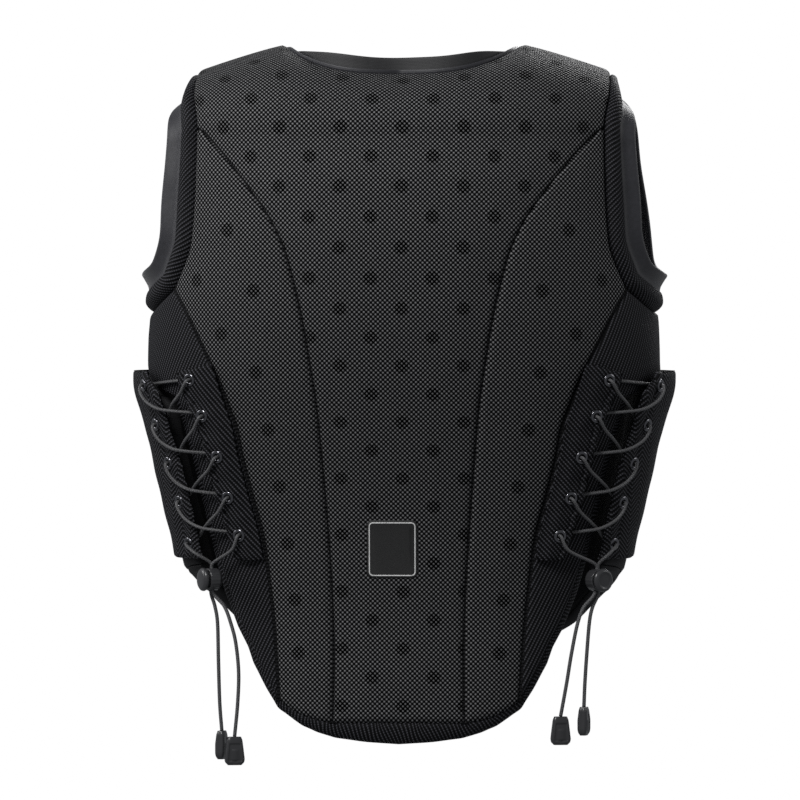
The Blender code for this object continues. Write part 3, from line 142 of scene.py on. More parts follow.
# %% Points on the skin
def ridge_height(x):
    """Height of the shoulder line at a distance from the centre."""
    x = np.abs(x)
    run = SHOULDER_HALF_WIDTH - NECK_HALF_WIDTH
    outside = SHOULDER_TOP - SHOULDER_FALL * (np.maximum(x - NECK_HALF_WIDTH, 0) / run) ** 1.15
    return outside - NECK_DIP * (1 - np.minimum(x / NECK_HALF_WIDTH, 1)) ** 2


def skin(angle, height):
    """Skin points: x = a(z) sin(A)^(2/n) and y = -b(z) cos(A)^(2/n) cos(turn), and z rises with
    sin(turn) from the start of the roll to the ridge, where turn goes from 0 to 90 degrees."""
    angle, height = np.broadcast_arrays(np.asarray(angle, float), np.asarray(height, float))
    flat = np.minimum(height, -ROLL_START)
    turn = np.clip((height + ROLL_START) / ROLL_LENGTH, 0, 1) * math.pi / 2
    sine, cosine = np.sin(np.radians(angle)), np.cos(np.radians(angle))
    x = half_width_at(flat) * np.sign(sine) * np.abs(sine) ** (2 / ROUNDNESS)
    down = -flat / BACK_LENGTH
    depth = np.where(cosine > 0, BACK_DEPTH * back_share(down), FRONT_DEPTH * front_share(down))
    y = -depth * np.sign(cosine) * np.abs(cosine) ** (2 / ROUNDNESS) * np.cos(turn)
    z = flat + (ridge_height(x) + ROLL_START) * np.sin(turn)
    return np.stack([x, y, z], -1)


def skin_normal(angle, height):
    """Outward directions of the skin, from small steps along it."""
    step_a, step_h = 0.6, 0.0015
    height = np.minimum(height, RIDGE - 2 * step_h)
    along = skin(angle + step_a, height) - skin(angle - step_a, height)
    up = skin(angle, height + step_h) - skin(angle, height - step_h)
    normal = np.cross(along, up)
    return normal / np.linalg.norm(normal, axis=-1, keepdims=True)


def lifted(angle, height, lift):
    """Skin points moved out by a lift."""
    return skin(angle, height) + skin_normal(angle, height) * np.asarray(lift)[..., None]


def angle_of(x, height, front=False):
    """The angle at which the skin lies at this distance from the centre."""
    ratio = np.clip(np.abs(x) / half_width_at(np.minimum(height, -ROLL_START)), 0, 1)
    angle = np.degrees(np.arcsin(ratio ** (ROUNDNESS / 2)))
    return 180 - angle if front else angle


def angle_seen(x, height, lift):
    """The angle where a point lifted off the skin stands at this distance from the centre."""
    low, high = 20.0, 90.0
    for _ in range(40):
        middle = (low + high) / 2
        if lifted(middle, height, lift)[0] < x:
            low = middle
        else:
            high = middle
    return (low + high) / 2


def height_of(z, x):
    """The height along the skin of a level near or above the start of the roll."""
    if z <= -ROLL_START:
        return z
    sine = (z + ROLL_START) / (float(ridge_height(x)) + ROLL_START)
    return -ROLL_START + ROLL_LENGTH * 2 / math.pi * math.asin(min(sine, 1.0))


print("widest:", round(float(2 * skin(90, -0.25)[0]), 3), "m")

# %% [markdown]
# The seams and outlines are curves on that skin, from the same tables as the CAD: how far down
# the back, as a share of its length, against how far across, as a share of half the chest.
# A panel is then a ruled grid between two of these curves, with rows that follow its outline.

# %% Seams and outlines
ARMHOLE_BOTTOM, ARMHOLE_CORNER, UNDERARM_SPREAD = 0.2055, 0.1846, 29.0
HEM_DEPTH_CENTRE, HEM_DEPTH_SIDE, HEM_DEPTH_REACH, HEM_GAP = 0.0155, 0.0055, 0.105, 0.0009
FRONT_HEM_DEPTH = 0.006
SEAM_TIP_LENGTH, SHOULDER_GAP = 0.0006, 0.0002
LACING_TOP, LACING_BOTTOM = 0.2526, 0.4050
ZIP_HALF = 0.003 + FIT_GAP

PRINCESS_SEAM = (
    (0.0915, 0.7995), (0.136, 0.686), (0.186, 0.581), (0.232, 0.4955), (0.279, 0.4367),
    (0.314, 0.4095), (0.370, 0.3742), (0.438, 0.3432), (0.506, 0.3160), (0.586, 0.2964),
    (0.699, 0.2730), (0.788, 0.2592), (0.875, 0.2535), (0.970, 0.2573),
)
OUTER_SEAM = (
    (0.3332, 0.8854), (0.373, 0.8267), (0.423, 0.7604), (0.465, 0.7060), (0.503, 0.6668),
    (0.538, 0.6320), (0.578, 0.6120), (0.6415, 0.5695), (0.6975, 0.5303), (0.7596, 0.5069),
    (0.826, 0.4874), (0.907, 0.4721), (0.950, 0.4640),
)
ARMHOLE_REAR = (
    (-0.010, 0.8115), (0.038, 0.8180), (0.093, 0.7995), (0.174, 0.8033), (0.264, 0.8191),
    (0.3332, 0.8854),
)
ARMHOLE_FRONT = ((0.3330, 119.0), (0.2700, 121.5), (0.1800, 124.0), (0.1083, 125.4))
FRONT_HEM = (
    (60.0, 0.838), (90.0, 0.853), (111.0, 0.887), (118.0, 0.904), (130.0, 0.941),
    (155.0, 0.985), (180.0, 1.000),
)
TAIL_OUTLINE = (
    # across, down
    (0.0000, 1.0000), (0.1289, 0.9970), (0.2535, 0.9910), (0.3236, 0.9836), (0.3900, 0.9733),
    (0.4835, 0.9498), (0.5403, 0.9173), (0.5890, 0.8834), (0.6086, 0.8628), (0.6554, 0.8303),
    (0.7060, 0.7830), (0.7420, 0.7380), (0.7760, 0.6840), (0.8130, 0.6200), (0.8560, 0.5560),
    (0.9060, 0.4980),
)

princess_seam, outer_seam = across_at(PRINCESS_SEAM), across_at(OUTER_SEAM)
armhole_rear = across_at(ARMHOLE_REAR)
armhole_front = smooth_table(ARMHOLE_FRONT, 0, 1)
front_hem_share = smooth_table(FRONT_HEM, 0, 1)
tail_across = smooth_table([(n, row[0]) for n, row in enumerate(TAIL_OUTLINE)], 0, 1)
tail_down = smooth_table([(n, row[1]) for n, row in enumerate(TAIL_OUTLINE)], 0, 1)
print("tail outline:", len(TAIL_OUTLINE), "points; princess seam:", len(PRINCESS_SEAM))


# %% The tail outline
def tail_point(share, inset=0.0):
    """A point of the tail outline, moved inward, as distance from the centre and level."""
    last = len(TAIL_OUTLINE) - 1

    def at(row):
        return np.array([CHEST_HALF_WIDTH * tail_across(row), -BACK_LENGTH * tail_down(row)])

    row = share * last
    run = at(min(row + 0.05, last)) - at(max(row - 0.05, 0))
    run = np.array([1.0, 0.0]) if share < 1e-6 else run / np.linalg.norm(run)
    return at(row) + inset * np.array([-run[1], run[0]])


def hem_edge(share, gap=0.0):
    """The lower edge of the panels at a share of the tail outline, above the rolled edge."""
    blend = smoothstep(tail_point(share)[0] / HEM_DEPTH_REACH)
    depth = HEM_DEPTH_CENTRE + (HEM_DEPTH_SIDE - HEM_DEPTH_CENTRE) * blend
    return tail_point(share, float(depth) + gap)


def crossing(seam):
    """The share of the tail outline where the panels' edge meets a seam."""
    low, high = 0.0, 1.0
    for _ in range(40):
        middle = (low + high) / 2
        x, z = hem_edge(middle, HEM_GAP)
        if x < float(seam(z)):
            low = middle
        else:
            high = middle
    return (low + high) / 2


PRINCESS_SHARE, OUTER_SHARE = crossing(princess_seam), crossing(outer_seam)
PRINCESS_LOW = hem_edge(PRINCESS_SHARE, HEM_GAP)[1]
OUTER_LOW = hem_edge(OUTER_SHARE, HEM_GAP)[1]
SEAM_TIP = -BACK_LENGTH * PRINCESS_SEAM[0][0] - SEAM_TIP_LENGTH
NECK_ANGLE = float(angle_of(NECK_HALF_WIDTH, RIDGE))
SHOULDER_ANGLE = float(angle_of(SHOULDER_HALF_WIDTH, RIDGE))
hem_rows = [tuple(hem_edge(share, HEM_GAP)) for share in np.linspace(0, 1, 26)]
hem_level = smooth_table(hem_rows, 0, 1)
print("neck and shoulder angles:", round(NECK_ANGLE, 1), round(SHOULDER_ANGLE, 1))


# %% Curves along the edges
def hem_curve(start, end, count=120):
    """Angles and heights along the panels' lower edge."""
    ends = [hem_edge(abs(share), HEM_GAP)[0] * (1 if share > 0 else -1) for share in (start, end)]
    x = np.linspace(*ends, count)
    levels = hem_level(np.abs(x))
    return np.stack([angle_of(x, levels) * np.sign(x), levels], -1)


def seam_curve(seam, heights, move=0.0):
    """Angles and heights along a seam, moved sideways by part of the seam gap."""
    heights = np.asarray(heights, float)
    levels = np.where(heights > -ROLL_START, skin(55.0, heights)[..., 2], heights)
    return np.stack([angle_of(seam(levels) + move, heights), heights], -1)


def neck_back_height(angle):
    """Height along the skin of the back neck edge at an angle."""
    x = float(skin(angle, RIDGE)[0])
    return height_of(SHOULDER_TOP - NECK_BACK_DROP * (1 - (abs(x) / NECK_HALF_WIDTH) ** 3), x)


def neck_front_height(angle):
    """Height along the skin of the front neckline at an angle."""
    share = max(0.0, (angle - 180 + NECK_ANGLE) / NECK_ANGLE)
    low = height_of(SHOULDER_TOP - NECK_FRONT_DROP, 0)
    return RIDGE - SHOULDER_GAP + (low - RIDGE) * math.sin(share * math.pi / 2) ** 0.75


def underarm_height(angle):
    """The lowest part of the armhole: its height at an angle."""
    rise = ARMHOLE_BOTTOM - ARMHOLE_CORNER
    return -ARMHOLE_BOTTOM + rise * ((np.asarray(angle) - 90) / UNDERARM_SPREAD) ** 2


WING_SIDE, FRONT_SIDE = 90.3, 90.15


def wing_edge():
    """The wing's free edge under the flap, from the tail up to the armhole."""
    hem = hem_curve(OUTER_SHARE, 1.0)
    corner = np.array([WING_SIDE, -LACING_TOP + 0.006])
    bend = hem[-1] * 0.45 + corner * 0.55 + np.array([2.0, -0.002])
    free = smooth_through([hem[-1], bend, corner, [WING_SIDE, -ARMHOLE_BOTTOM]], 40)
    return np.concatenate([hem, free[1:]])


def cubic_between(a, b, c, d, t):
    """A point between b and c, at the share t, on the smooth curve through a, b, c and d."""
    return 0.5 * (2 * b + (c - a) * t + (2 * a - 5 * b + 4 * c - d) * t**2
                  + (3 * b - a - 3 * c + d) * t**3)


def smooth_through(points, count):
    """A smooth curve through points: cubic pieces, evenly stepped."""
    points = np.asarray(points, float)
    rows = np.concatenate([np.arange(len(points))[:, None], points], axis=1)
    t = np.linspace(0, len(points) - 1, count)
    return np.stack([smooth_table(rows, 0, k + 1)(t) for k in range(points.shape[1])], -1)


def front_edge():
    """The front panel's outer edge, from the hem under the flap up to the shoulder."""
    levels = np.array([hem_edge(s, HEM_GAP) for s in np.linspace(0.62, 1.0, 30)])
    found = []
    for z in np.linspace(-FRONT_LENGTH * 0.842, -LACING_TOP + 0.004, 6):
        spread = 12.0 * smoothstep((-z - LACING_TOP + 0.004) / 0.05)
        free = float(angle_of(np.interp(z, levels[:, 1], levels[:, 0]), z))
        angle = min(free if z < -0.276 else 99.0, FRONT_SIDE)
        blend = float(smoothstep((z + 0.285) / 0.030))
        angle = angle * (1 - blend) + FRONT_SIDE * blend
        found.append((min(angle + spread + 0.35, 92.0) if z < -LACING_TOP else FRONT_SIDE, z))
    found += [(FRONT_SIDE, -ARMHOLE_BOTTOM - 0.020), (FRONT_SIDE, -ARMHOLE_BOTTOM)]
    found += [(angle, float(underarm_height(angle))) for angle in (99.0, 107.0, 113.5, 119.0)]
    for down in (0.27, 0.18, ROLL_START / BACK_LENGTH):
        found.append((float(armhole_front(down)), -BACK_LENGTH * down))
    shoulder = 180 - SHOULDER_ANGLE
    found += [(shoulder + 0.3, (RIDGE - ROLL_START) / 2), (shoulder, RIDGE - SHOULDER_GAP)]
    return np.array(found)
print("front panel edge:", len(front_edge()), "points")


# %% Grids between two curves
def crowded(count):
    """Shares from 0 to 1 that lie closer together near both ends."""
    t = np.linspace(0, 1, count)
    return 0.3 * t + 0.7 * (1 - np.cos(math.pi * t)) / 2


def to_step(angle):
    """A measure round the body that runs evenly where the superellipse is flattest: 0 at the
    centre back, 1 at the side and 2 at the centre front."""
    size = np.clip(np.abs(angle), 0, 180) / 90
    past = 2 - np.abs(2 - size) ** (2 / ROUNDNESS)
    return np.sign(angle) * np.where(size < 1, size ** (2 / ROUNDNESS), past)


def to_angle(step):
    """The angle of such a measure."""
    size = np.abs(step)
    past = 2 - np.abs(2 - size) ** (ROUNDNESS / 2)
    return np.sign(step) * 90 * np.where(size < 1, size ** (ROUNDNESS / 2), past)


def ruled(inner, outer, low, high, columns, rows):
    """A grid of angles and heights between two side curves. At each height the columns share out
    the way from the inner curve to the outer, and each column runs from low to high, which give
    the end heights at a column's step round the body."""
    share = crowded(columns)

    def step_at(height):
        ends = [np.interp(height, curve[:, 1], to_step(curve[:, 0])) for curve in (inner, outer)]
        return ends[0] + share * (ends[1] - ends[0])

    ends = []
    for limit in (low, high):
        corner = to_step(np.array([outer[-1 if limit is high else 0, 0]]))
        height = np.full(columns, float(limit(corner, -0.3)[0]))
        for _ in range(60):
            height = 0.5 * height + 0.5 * limit(step_at(height), height)
        ends.append(height)
    heights = ends[0] + crowded(rows)[:, None] * (ends[1] - ends[0])
    return np.stack([to_angle(step_at(heights)), heights], -1)


def hem_limit(step, height):
    """Height of the panels' lower edge at a step round the back."""
    return hem_level(np.abs(skin(to_angle(step), height)[..., 0]))


print("seams meet the tail at shares", round(PRINCESS_SHARE, 3), "and", round(OUTER_SHARE, 3))

# %% [markdown]
# Cloth is shown by its yarn, so every surface gets a map in metres: the way round the body from
# the centre back, and the height. A projected pattern would smear where the shoulder rolls over.
# Small node helpers keep the material recipes short.

# %% Material helpers
def run_lengths(points, axis):
    """Metres from the first point of each row or column of a grid of points."""
    step = np.linalg.norm(np.diff(points, axis=axis), axis=-1)
    return np.cumsum(np.pad(step, ((1, 0), (0, 0)) if axis == 0 else ((0, 0), (1, 0))), axis=axis)


MAP_HEIGHTS = np.concatenate([np.linspace(-0.56, -ROLL_START, 50),
                              np.linspace(-ROLL_START, RIDGE, 40)[1:]])
MAP_STEPS = np.linspace(0, 2, 241)
map_points = skin(to_angle(MAP_STEPS)[None], MAP_HEIGHTS[:, None])
ROUND_LENGTH = run_lengths(map_points, 1)
UP_LENGTH = run_lengths(map_points, 0)
UP_LENGTH = UP_LENGTH - UP_LENGTH[49:50] - ROLL_START


def cloth_map(angle, height):
    """Metres round the body and up it. Both lengths along the skin are read from tables over
    angles and heights, mixed between their four nearest entries."""
    angle, height = np.broadcast_arrays(np.asarray(angle, float), np.asarray(height, float))
    row = np.interp(height, MAP_HEIGHTS, np.arange(len(MAP_HEIGHTS)))
    row = np.clip(row, 0, len(MAP_HEIGHTS) - 1.001)
    column = np.clip(np.abs(to_step(angle)) * 120, 0, 239.999)
    i, j = row.astype(int), column.astype(int)
    s, t = row - i, column - j
    around, up = ((1 - s) * ((1 - t) * table[i, j] + t * table[i, j + 1])
                  + s * ((1 - t) * table[i + 1, j] + t * table[i + 1, j + 1])
                  for table in (ROUND_LENGTH, UP_LENGTH))
    return np.stack([around * np.sign(angle), up], -1)
print("map of the skin:", map_points.shape[:2], "points")


# %% The recipe class
class Recipe:
    """One material, with short ways to add nodes and to join sums and products."""

    def __init__(self, name):
        self.material = bpy.data.materials.new(name)
        self.material.use_nodes = True
        self.tree = self.material.node_tree
        self.shader = self.tree.nodes["Principled BSDF"]

    def add(self, kind, *inputs, **settings):
        node = self.tree.nodes.new(kind)
        for key, value in settings.items():
            setattr(node, key, value)
        for place, value in zip(node.inputs, inputs):
            self.fill(place, value)
        return node

    def fill(self, place, value):
        if isinstance(value, bpy.types.NodeSocket):
            self.tree.links.new(value, place)
        elif value is not None:
            place.default_value = value

    def math(self, operation, a, b=0.0, c=0.0):
        return self.add("ShaderNodeMath", a, b, c, operation=operation).outputs[0]

    def ramp(self, value, low, high, start=0.0, end=1.0):
        return self.add("ShaderNodeMapRange", value, low, high, start, end,
                        interpolation_type="SMOOTHSTEP").outputs[0]

    def colour(self, share, dark, light):
        mixed = self.add("ShaderNodeMix", data_type="RGBA")
        self.fill(mixed.inputs[0], share)
        self.fill(mixed.inputs[6], (*dark, 1))
        self.fill(mixed.inputs[7], (*light, 1))
        return mixed.outputs[2]

    def map(self):
        """The cloth map's two directions, in metres."""
        split = self.add("ShaderNodeSeparateXYZ", self.add("ShaderNodeUVMap").outputs[0])
        return split.outputs[0], split.outputs[1]

    def wave(self, value, pitch, shift=0.0):
        """cos(2 pi (value / pitch + shift)), from 0 to 1."""
        turn = self.math("MULTIPLY_ADD", value, math.tau / pitch, math.tau * shift)
        return self.math("MULTIPLY_ADD", self.math("COSINE", turn), 0.5, 0.5)

    def finish(self, colour, roughness, bump=None, height=0.0004, **more):
        self.fill(self.shader.inputs["Base Color"], colour)
        self.fill(self.shader.inputs["Roughness"], roughness)
        if bump is not None:
            raised = self.add("ShaderNodeBump")
            self.fill(raised.inputs["Strength"], 1.0)
            self.fill(raised.inputs["Distance"], height)
            self.fill(raised.inputs["Height"], bump)
            self.fill(self.shader.inputs["Normal"], raised.outputs[0])
        for key, value in more.items():
            self.fill(self.shader.inputs[key.replace("_", " ")], value)
        return self.material


# %% [markdown]
# The fine air mesh is a diamond lattice of small knots over dark holes, and the knots' brightness is
# painted highlight. Behind it the foam is drilled, and each drilled hole shows as a round patch where
# the lattice is painted darker: painted shade inside the hole.
# Thousands of real holes would cost too many faces, so the lattice is a sum of two cosines.

# %% The fine mesh
KNOT_PITCH = 0.0038
HOLE_SPACING, HOLE_RADIUS, HOLE_CENTRE = 0.0500, 0.0056, 0.0036
FIRST_ROW, WAIST_ROW = -0.0539, -0.2026
UPPER_ROWS, LOWER_ROWS = 0.02478, 0.02325


def fine_mesh(name, hole_points=None):
    """The air mesh, with drilled holes on a staggered grid or at given places of the map."""
    made = Recipe(name)
    across, up = made.map()
    half = made.math("MULTIPLY", across, 1 / KNOT_PITCH)
    rise = made.math("MULTIPLY", up, 1 / KNOT_PITCH)
    one, two = made.math("ADD", half, rise), made.math("SUBTRACT", half, rise)
    knots = made.math("MULTIPLY", made.math("ADD", made.wave(one, 1), made.wave(two, 1)), 0.5)
    place = made.add("ShaderNodeCombineXYZ", across, up, 0.0).outputs[0]
    near = None
    if hole_points is None:
        above = made.math("SUBTRACT", FIRST_ROW, made.math("MAXIMUM", up, WAIST_ROW))
        below = made.math("SUBTRACT", WAIST_ROW, made.math("MINIMUM", up, WAIST_ROW))
        upper = made.math("DIVIDE", above, UPPER_ROWS)
        lower = made.math("DIVIDE", below, LOWER_ROWS)
        down = made.math("MULTIPLY", made.math("ADD", upper, lower), UPPER_ROWS)
        for shift in (0.0, 0.5):
            steps = []
            for value, origin, pitch in ((across, HOLE_CENTRE, HOLE_SPACING),
                                         (down, 0.0, 2 * UPPER_ROWS)):
                moved = made.math("ADD", value, pitch * shift - origin)
                cell = made.math("WRAP", moved, pitch / 2, -pitch / 2)
                steps.append(made.math("MULTIPLY", cell, cell))
            gap = made.math("SQRT", made.math("ADD", *steps))
            near = gap if near is None else made.math("MINIMUM", near, gap)
    else:
        for point in hole_points:
            gap = made.add("ShaderNodeVectorMath", place, (*point, 0.0),
                           operation="DISTANCE").outputs["Value"]
            near = gap if near is None else made.math("MINIMUM", near, gap)
    # Painted shade: over each drilled hole the base and the knots are made darker.
    hole = made.ramp(near, HOLE_RADIUS * 1.05, HOLE_RADIUS * 0.95)
    noise = made.add("ShaderNodeTexNoise", place)
    noise.inputs["Scale"].default_value = 900.0
    noise.inputs["Detail"].default_value = 1.0
    # Painted highlight: the knots' brightness stands for light caught on the black yarn.
    knot_highlight = made.math("MULTIPLY", made.ramp(knots, 0.40, 1.0),
                     made.ramp(noise.outputs[0], 0.2, 0.8, 0.70, 1.15))
    lines = made.ramp(knots, 0.50, 0.90, 0.0, 0.62)
    apart = made.add("ShaderNodeMix", data_type="FLOAT")
    for place_in, value in ((0, hole), (2, knot_highlight), (3, lines)):
        made.fill(apart.inputs[place_in], value)
    lit = apart.outputs[0]
    base = made.colour(hole, (0.0034, 0.0034, 0.0037), (0.0002, 0.0002, 0.0002))
    mixed = made.add("ShaderNodeMix", data_type="RGBA")
    made.fill(mixed.inputs[0], lit)
    made.fill(mixed.inputs[6], base)
    made.fill(mixed.inputs[7], (0.155, 0.155, 0.158, 1))
    return made.finish(mixed.outputs[2], 0.62, knots, 0.00060,
                       Specular_IOR_Level=made.math("MULTIPLY", lit, 0.60))


# %% [markdown]
# The coarse spacer mesh runs in slanting ribs, each one a chain of short links. The raised links are
# painted lighter as highlight and the grooves between them darker as shade. Its recipe takes the
# slope of the ribs, so that each piece can have its own. Folding the map to and fro turns the same
# ribs into the herringbone of the flaps.

# %% The coarse mesh
RIB_PITCH, LINK_PITCH = 0.0029, 0.0021


def coarse_mesh(name, slope, herringbone=0.0, pale=(0.060, 0.060, 0.068)):
    """Ribs across the direction of a slope in degrees, folded to and fro over a band width."""
    made = Recipe(name)
    across, up = made.map()
    if herringbone:
        across = made.math("PINGPONG", across, herringbone)
    turn = math.radians(slope)
    ridge = made.math("ADD", made.math("MULTIPLY", across, math.sin(turn)),
                      made.math("MULTIPLY", up, -math.cos(turn)))
    run = made.math("ADD", made.math("MULTIPLY", across, math.cos(turn)),
                    made.math("MULTIPLY", up, math.sin(turn)))
    ribs = made.wave(ridge, RIB_PITCH)
    bent = made.math("MULTIPLY_ADD", ribs, LINK_PITCH * 0.35, run)
    links = made.wave(bent, LINK_PITCH)
    relief = made.math("MULTIPLY", ribs, made.math("MULTIPLY_ADD", links, 0.45, 0.55))
    # Painted light: raised links take the pale colour as painted highlight, the grooves near-black as
    # painted shade.
    colour = made.colour(made.ramp(relief, 0.30, 1.0), (0.0012, 0.0012, 0.0015), pale)
    return made.finish(colour, 0.66, relief, 0.0007, Specular_IOR_Level=0.10)


# %% [markdown]
# The bindings and the armhole trim are smooth knitted cloth with a faint grain. The front is a
# plain black weave. Cord, plastic and metal have their own simple finishes. One table holds
# them all, so that a piece asks for its look by name.

# %% The other finishes
def grained(name, colour, roughness, pitch, height, **more):
    """Plain cloth with a faint, slightly uneven grain."""
    made = Recipe(name)
    across, up = made.map()
    weave = made.math("MULTIPLY", made.wave(across, pitch), made.wave(up, pitch * 1.3))
    place = made.add("ShaderNodeCombineXYZ", across, up, 0.0).outputs[0]
    noise = made.add("ShaderNodeTexNoise", place)
    noise.inputs["Scale"].default_value = 260.0
    share = made.ramp(noise.outputs[0], 0.25, 0.75, 0.0, 1.0)
    tint = made.colour(share, [c * 0.82 for c in colour], [c * 1.15 for c in colour])
    return made.finish(tint, roughness, weave, height, **more)


def braided_cord(name):
    """Two crossing sets of slanting strands round the cord. The map runs along and round it."""
    made = Recipe(name)
    along, round_it = made.map()
    lay = made.math("MULTIPLY", along, 1 / 0.0034)
    turns = made.math("MULTIPLY", round_it, 6.0)
    one = made.wave(made.math("ADD", lay, turns), 1)
    two = made.wave(made.math("SUBTRACT", lay, turns), 1)
    strands = made.math("MAXIMUM", one, two)
    # Painted light: the strand crests are painted lighter as highlight and the gaps between them darker
    # as shade.
    colour = made.colour(strands, (0.018, 0.018, 0.019), (0.085, 0.085, 0.088))
    return made.finish(colour, 0.50, strands, 0.00025, Specular_IOR_Level=0.45)


def plain(name, colour, roughness, metallic=0.0, grain=0.0):
    """A plain hard finish, with a fine moulding grain if asked."""
    made = Recipe(name)
    bump = None
    if grain:
        noise = made.add("ShaderNodeTexNoise", made.add("ShaderNodeTexCoord").outputs["Object"])
        noise.inputs["Scale"].default_value = 1400.0
        bump = noise.outputs[0]
    return made.finish((*colour, 1), roughness, bump, grain, Metallic=metallic)


def hole_places(side):
    """Places on the cloth map of the few drilled holes that show on a side panel."""
    return [tuple(cloth_map(angle_of(x, z) * side, z)) for x, z in SIDE_HOLES]


SIDE_HOLES = (
    # from the centre, height
    (0.1642, -0.1781), (0.1168, -0.1863), (0.1381, -0.1373), (0.1438, -0.2214), (0.1152, -0.2525),
    (0.1054, -0.2990), (0.0968, -0.3456), (0.0903, -0.3922), (0.0847, -0.4379), (0.0817, -0.4812),
)
LOOKS = {
    "fine_mesh": fine_mesh("fine_mesh_back"),
    "fine_mesh_left": fine_mesh("fine_mesh_left", hole_places(-1)),
    "fine_mesh_right": fine_mesh("fine_mesh_right", hole_places(1)),
    "seam": coarse_mesh("seam_ladder", 90, 0.0, (0.006, 0.006, 0.007)),
    "wing": coarse_mesh("coarse_mesh_wing", 62),
    "tab": coarse_mesh("coarse_mesh_tab", -50),
    "flap": coarse_mesh("coarse_mesh_flap", 40, 0.011),
    "gusset": coarse_mesh("coarse_mesh_gusset", 50),
    "hem": coarse_mesh("coarse_mesh_hem", 70),
    "lycra": grained("knitted_binding", (0.015, 0.015, 0.019), 0.55, 0.0009, 0.00006,
                     Sheen_Weight=0.12, Sheen_Roughness=0.4),
    "front": grained("front_cloth_weave", (0.0085, 0.0085, 0.0094), 0.72, 0.0012, 0.00010,
                     Specular_IOR_Level=0.2),
    "cord": braided_cord("braided_cord"),
    "plastic": plain("moulded_plastic", (0.030, 0.030, 0.032), 0.27, 0.0, 0.00003),
    "eyelet": plain("eyelet_metal", (0.13, 0.13, 0.14), 0.17, 1.0),
    "metal": plain("dark_metal", (0.16, 0.16, 0.17), 0.30, 1.0),
    # Near-black finish of the discs in the eyelet bores: painted shade.
    "dark": plain("painted_bore_shade", (0.002, 0.002, 0.002), 0.9),
    "facing": grained("neck_facing", (0.0048, 0.0048, 0.0058), 0.62, 0.0009, 0.00006),
    "patch": grained("woven_patch", (0.004, 0.004, 0.004), 0.6, 0.0006, 0.00008),
    "pale": grained("pale_stitching", (0.62, 0.62, 0.61), 0.6, 0.0005, 0.0001),
}
print("finishes:", ", ".join(LOOKS))

# %% [markdown]
# A piece is a grid of points joined into one closed surface. The helpers below turn it to face
# out, lay the cloth map on it, and tie it to the CAD pieces that it stands for. A closed wall
# was chosen over a thickened sheet, because its edge can then be rounded by formula too.

# %% Surface helpers
def piece(name, points, faces, cloth, look, nodes=(), body="vest", side=1):
    """One closed surface from points and four-sided faces, mirrored to the left when side is -1."""
    points = np.asarray(points, float).reshape(-1, 3) * [side, 1, 1]
    cloth = np.asarray(cloth, float).reshape(-1, 2) * [side, 1]
    faces = np.asarray(faces)
    a, b, c = (points[faces[:, k]] for k in (0, 1, 2))
    d = points[faces[:, 3]]
    volume = np.sum(np.cross(b - a, c - a) * a) + np.sum(np.cross(c - a, d - a) * a)
    if volume < 0:
        faces = faces[:, ::-1]
    mesh = bpy.data.meshes.new(name)
    mesh.from_pydata(points.tolist(), [], faces.tolist())
    layer = mesh.uv_layers.new(name="UVMap")
    index = np.empty(len(mesh.loops), np.int32)
    mesh.loops.foreach_get("vertex_index", index)
    layer.data.foreach_set("uv", cloth[index].ravel())
    mesh.materials.append(LOOKS[look])
    mesh.shade_smooth()
    made = bpy.data.objects.new(name, mesh)
    bpy.context.scene.collection.objects.link(made)
    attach(made, body)
    if nodes:
        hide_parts(*nodes)
    return made


def slab(outer, inner):
    """Points and faces of the wall between two equal grids, closed round its four edges."""
    rows, columns = outer.shape[:2]
    under = rows * columns
    index = np.arange(under).reshape(rows, columns)
    a, b, c, d = (index[:-1, :-1], index[:-1, 1:], index[1:, 1:], index[1:, :-1])
    face = np.stack([a, b, c, d], -1).reshape(-1, 4)
    loop = np.concatenate([index[0], index[1:, -1], index[-1, -2::-1], index[-2:0:-1, 0]])
    following = np.roll(loop, -1)
    rim = np.stack([following, loop, under + loop, under + following], -1)
    points = np.concatenate([outer.reshape(-1, 3), inner.reshape(-1, 3)])
    return points, np.concatenate([face, under + face[:, ::-1], rim])


def hoop(rings, closed):
    """Faces through equal rings of points: a closed hoop, or a tube with flat fans at its ends."""
    count, size = len(rings), len(rings[0])
    index = np.arange(count * size).reshape(count, size)
    following = np.roll(index, -1, axis=1)
    if closed:
        index, following = (np.concatenate([grid, grid[:1]]) for grid in (index, following))
    faces = np.stack([index[:-1], following[:-1], following[1:], index[1:]], -1).reshape(-1, 4)
    if closed:
        return faces
    half = size // 2
    caps = []
    for ring, order in ((index[0], -1), (index[-1], 1)):
        for k in range(half - 1):
            caps.append([ring[k], ring[k + 1], ring[size - 2 - k], ring[size - 1 - k]][::order])
    return np.concatenate([faces, np.array(caps)])


def no_map(points):
    """An empty map, for a plain finish that follows no direction of the surface."""
    return np.zeros((np.asarray(points).size // 3, 2))


def ring_map(rings):
    """Metres along a band and round its cross-section."""
    rings = np.asarray(rings)
    middle = rings.mean(axis=1)
    along = np.concatenate([[0], np.cumsum(np.linalg.norm(np.diff(middle, axis=0), axis=1))])
    step = np.linalg.norm(np.diff(rings, axis=1), axis=-1)
    around = np.concatenate([np.zeros((len(rings), 1)), np.cumsum(step, axis=1)], axis=1)
    return np.stack([np.broadcast_to(along[:, None], around.shape), around], -1)


def lengths(grid, axis):
    """For each point of a grid, how far it lies along its row or column from both ends."""
    run = run_lengths(grid, axis)
    total = run[-1:] if axis == 0 else run[:, -1:]
    return run, total - run


def rounded(distance, width, drop):
    """How far a quarter-round edge lies below the face: drop (1 - sqrt(1 - (1 - d/w)^2))."""
    inside = 1 - np.clip(distance / width, 0, 1)
    return drop * (1 - np.sqrt(1 - inside**2))
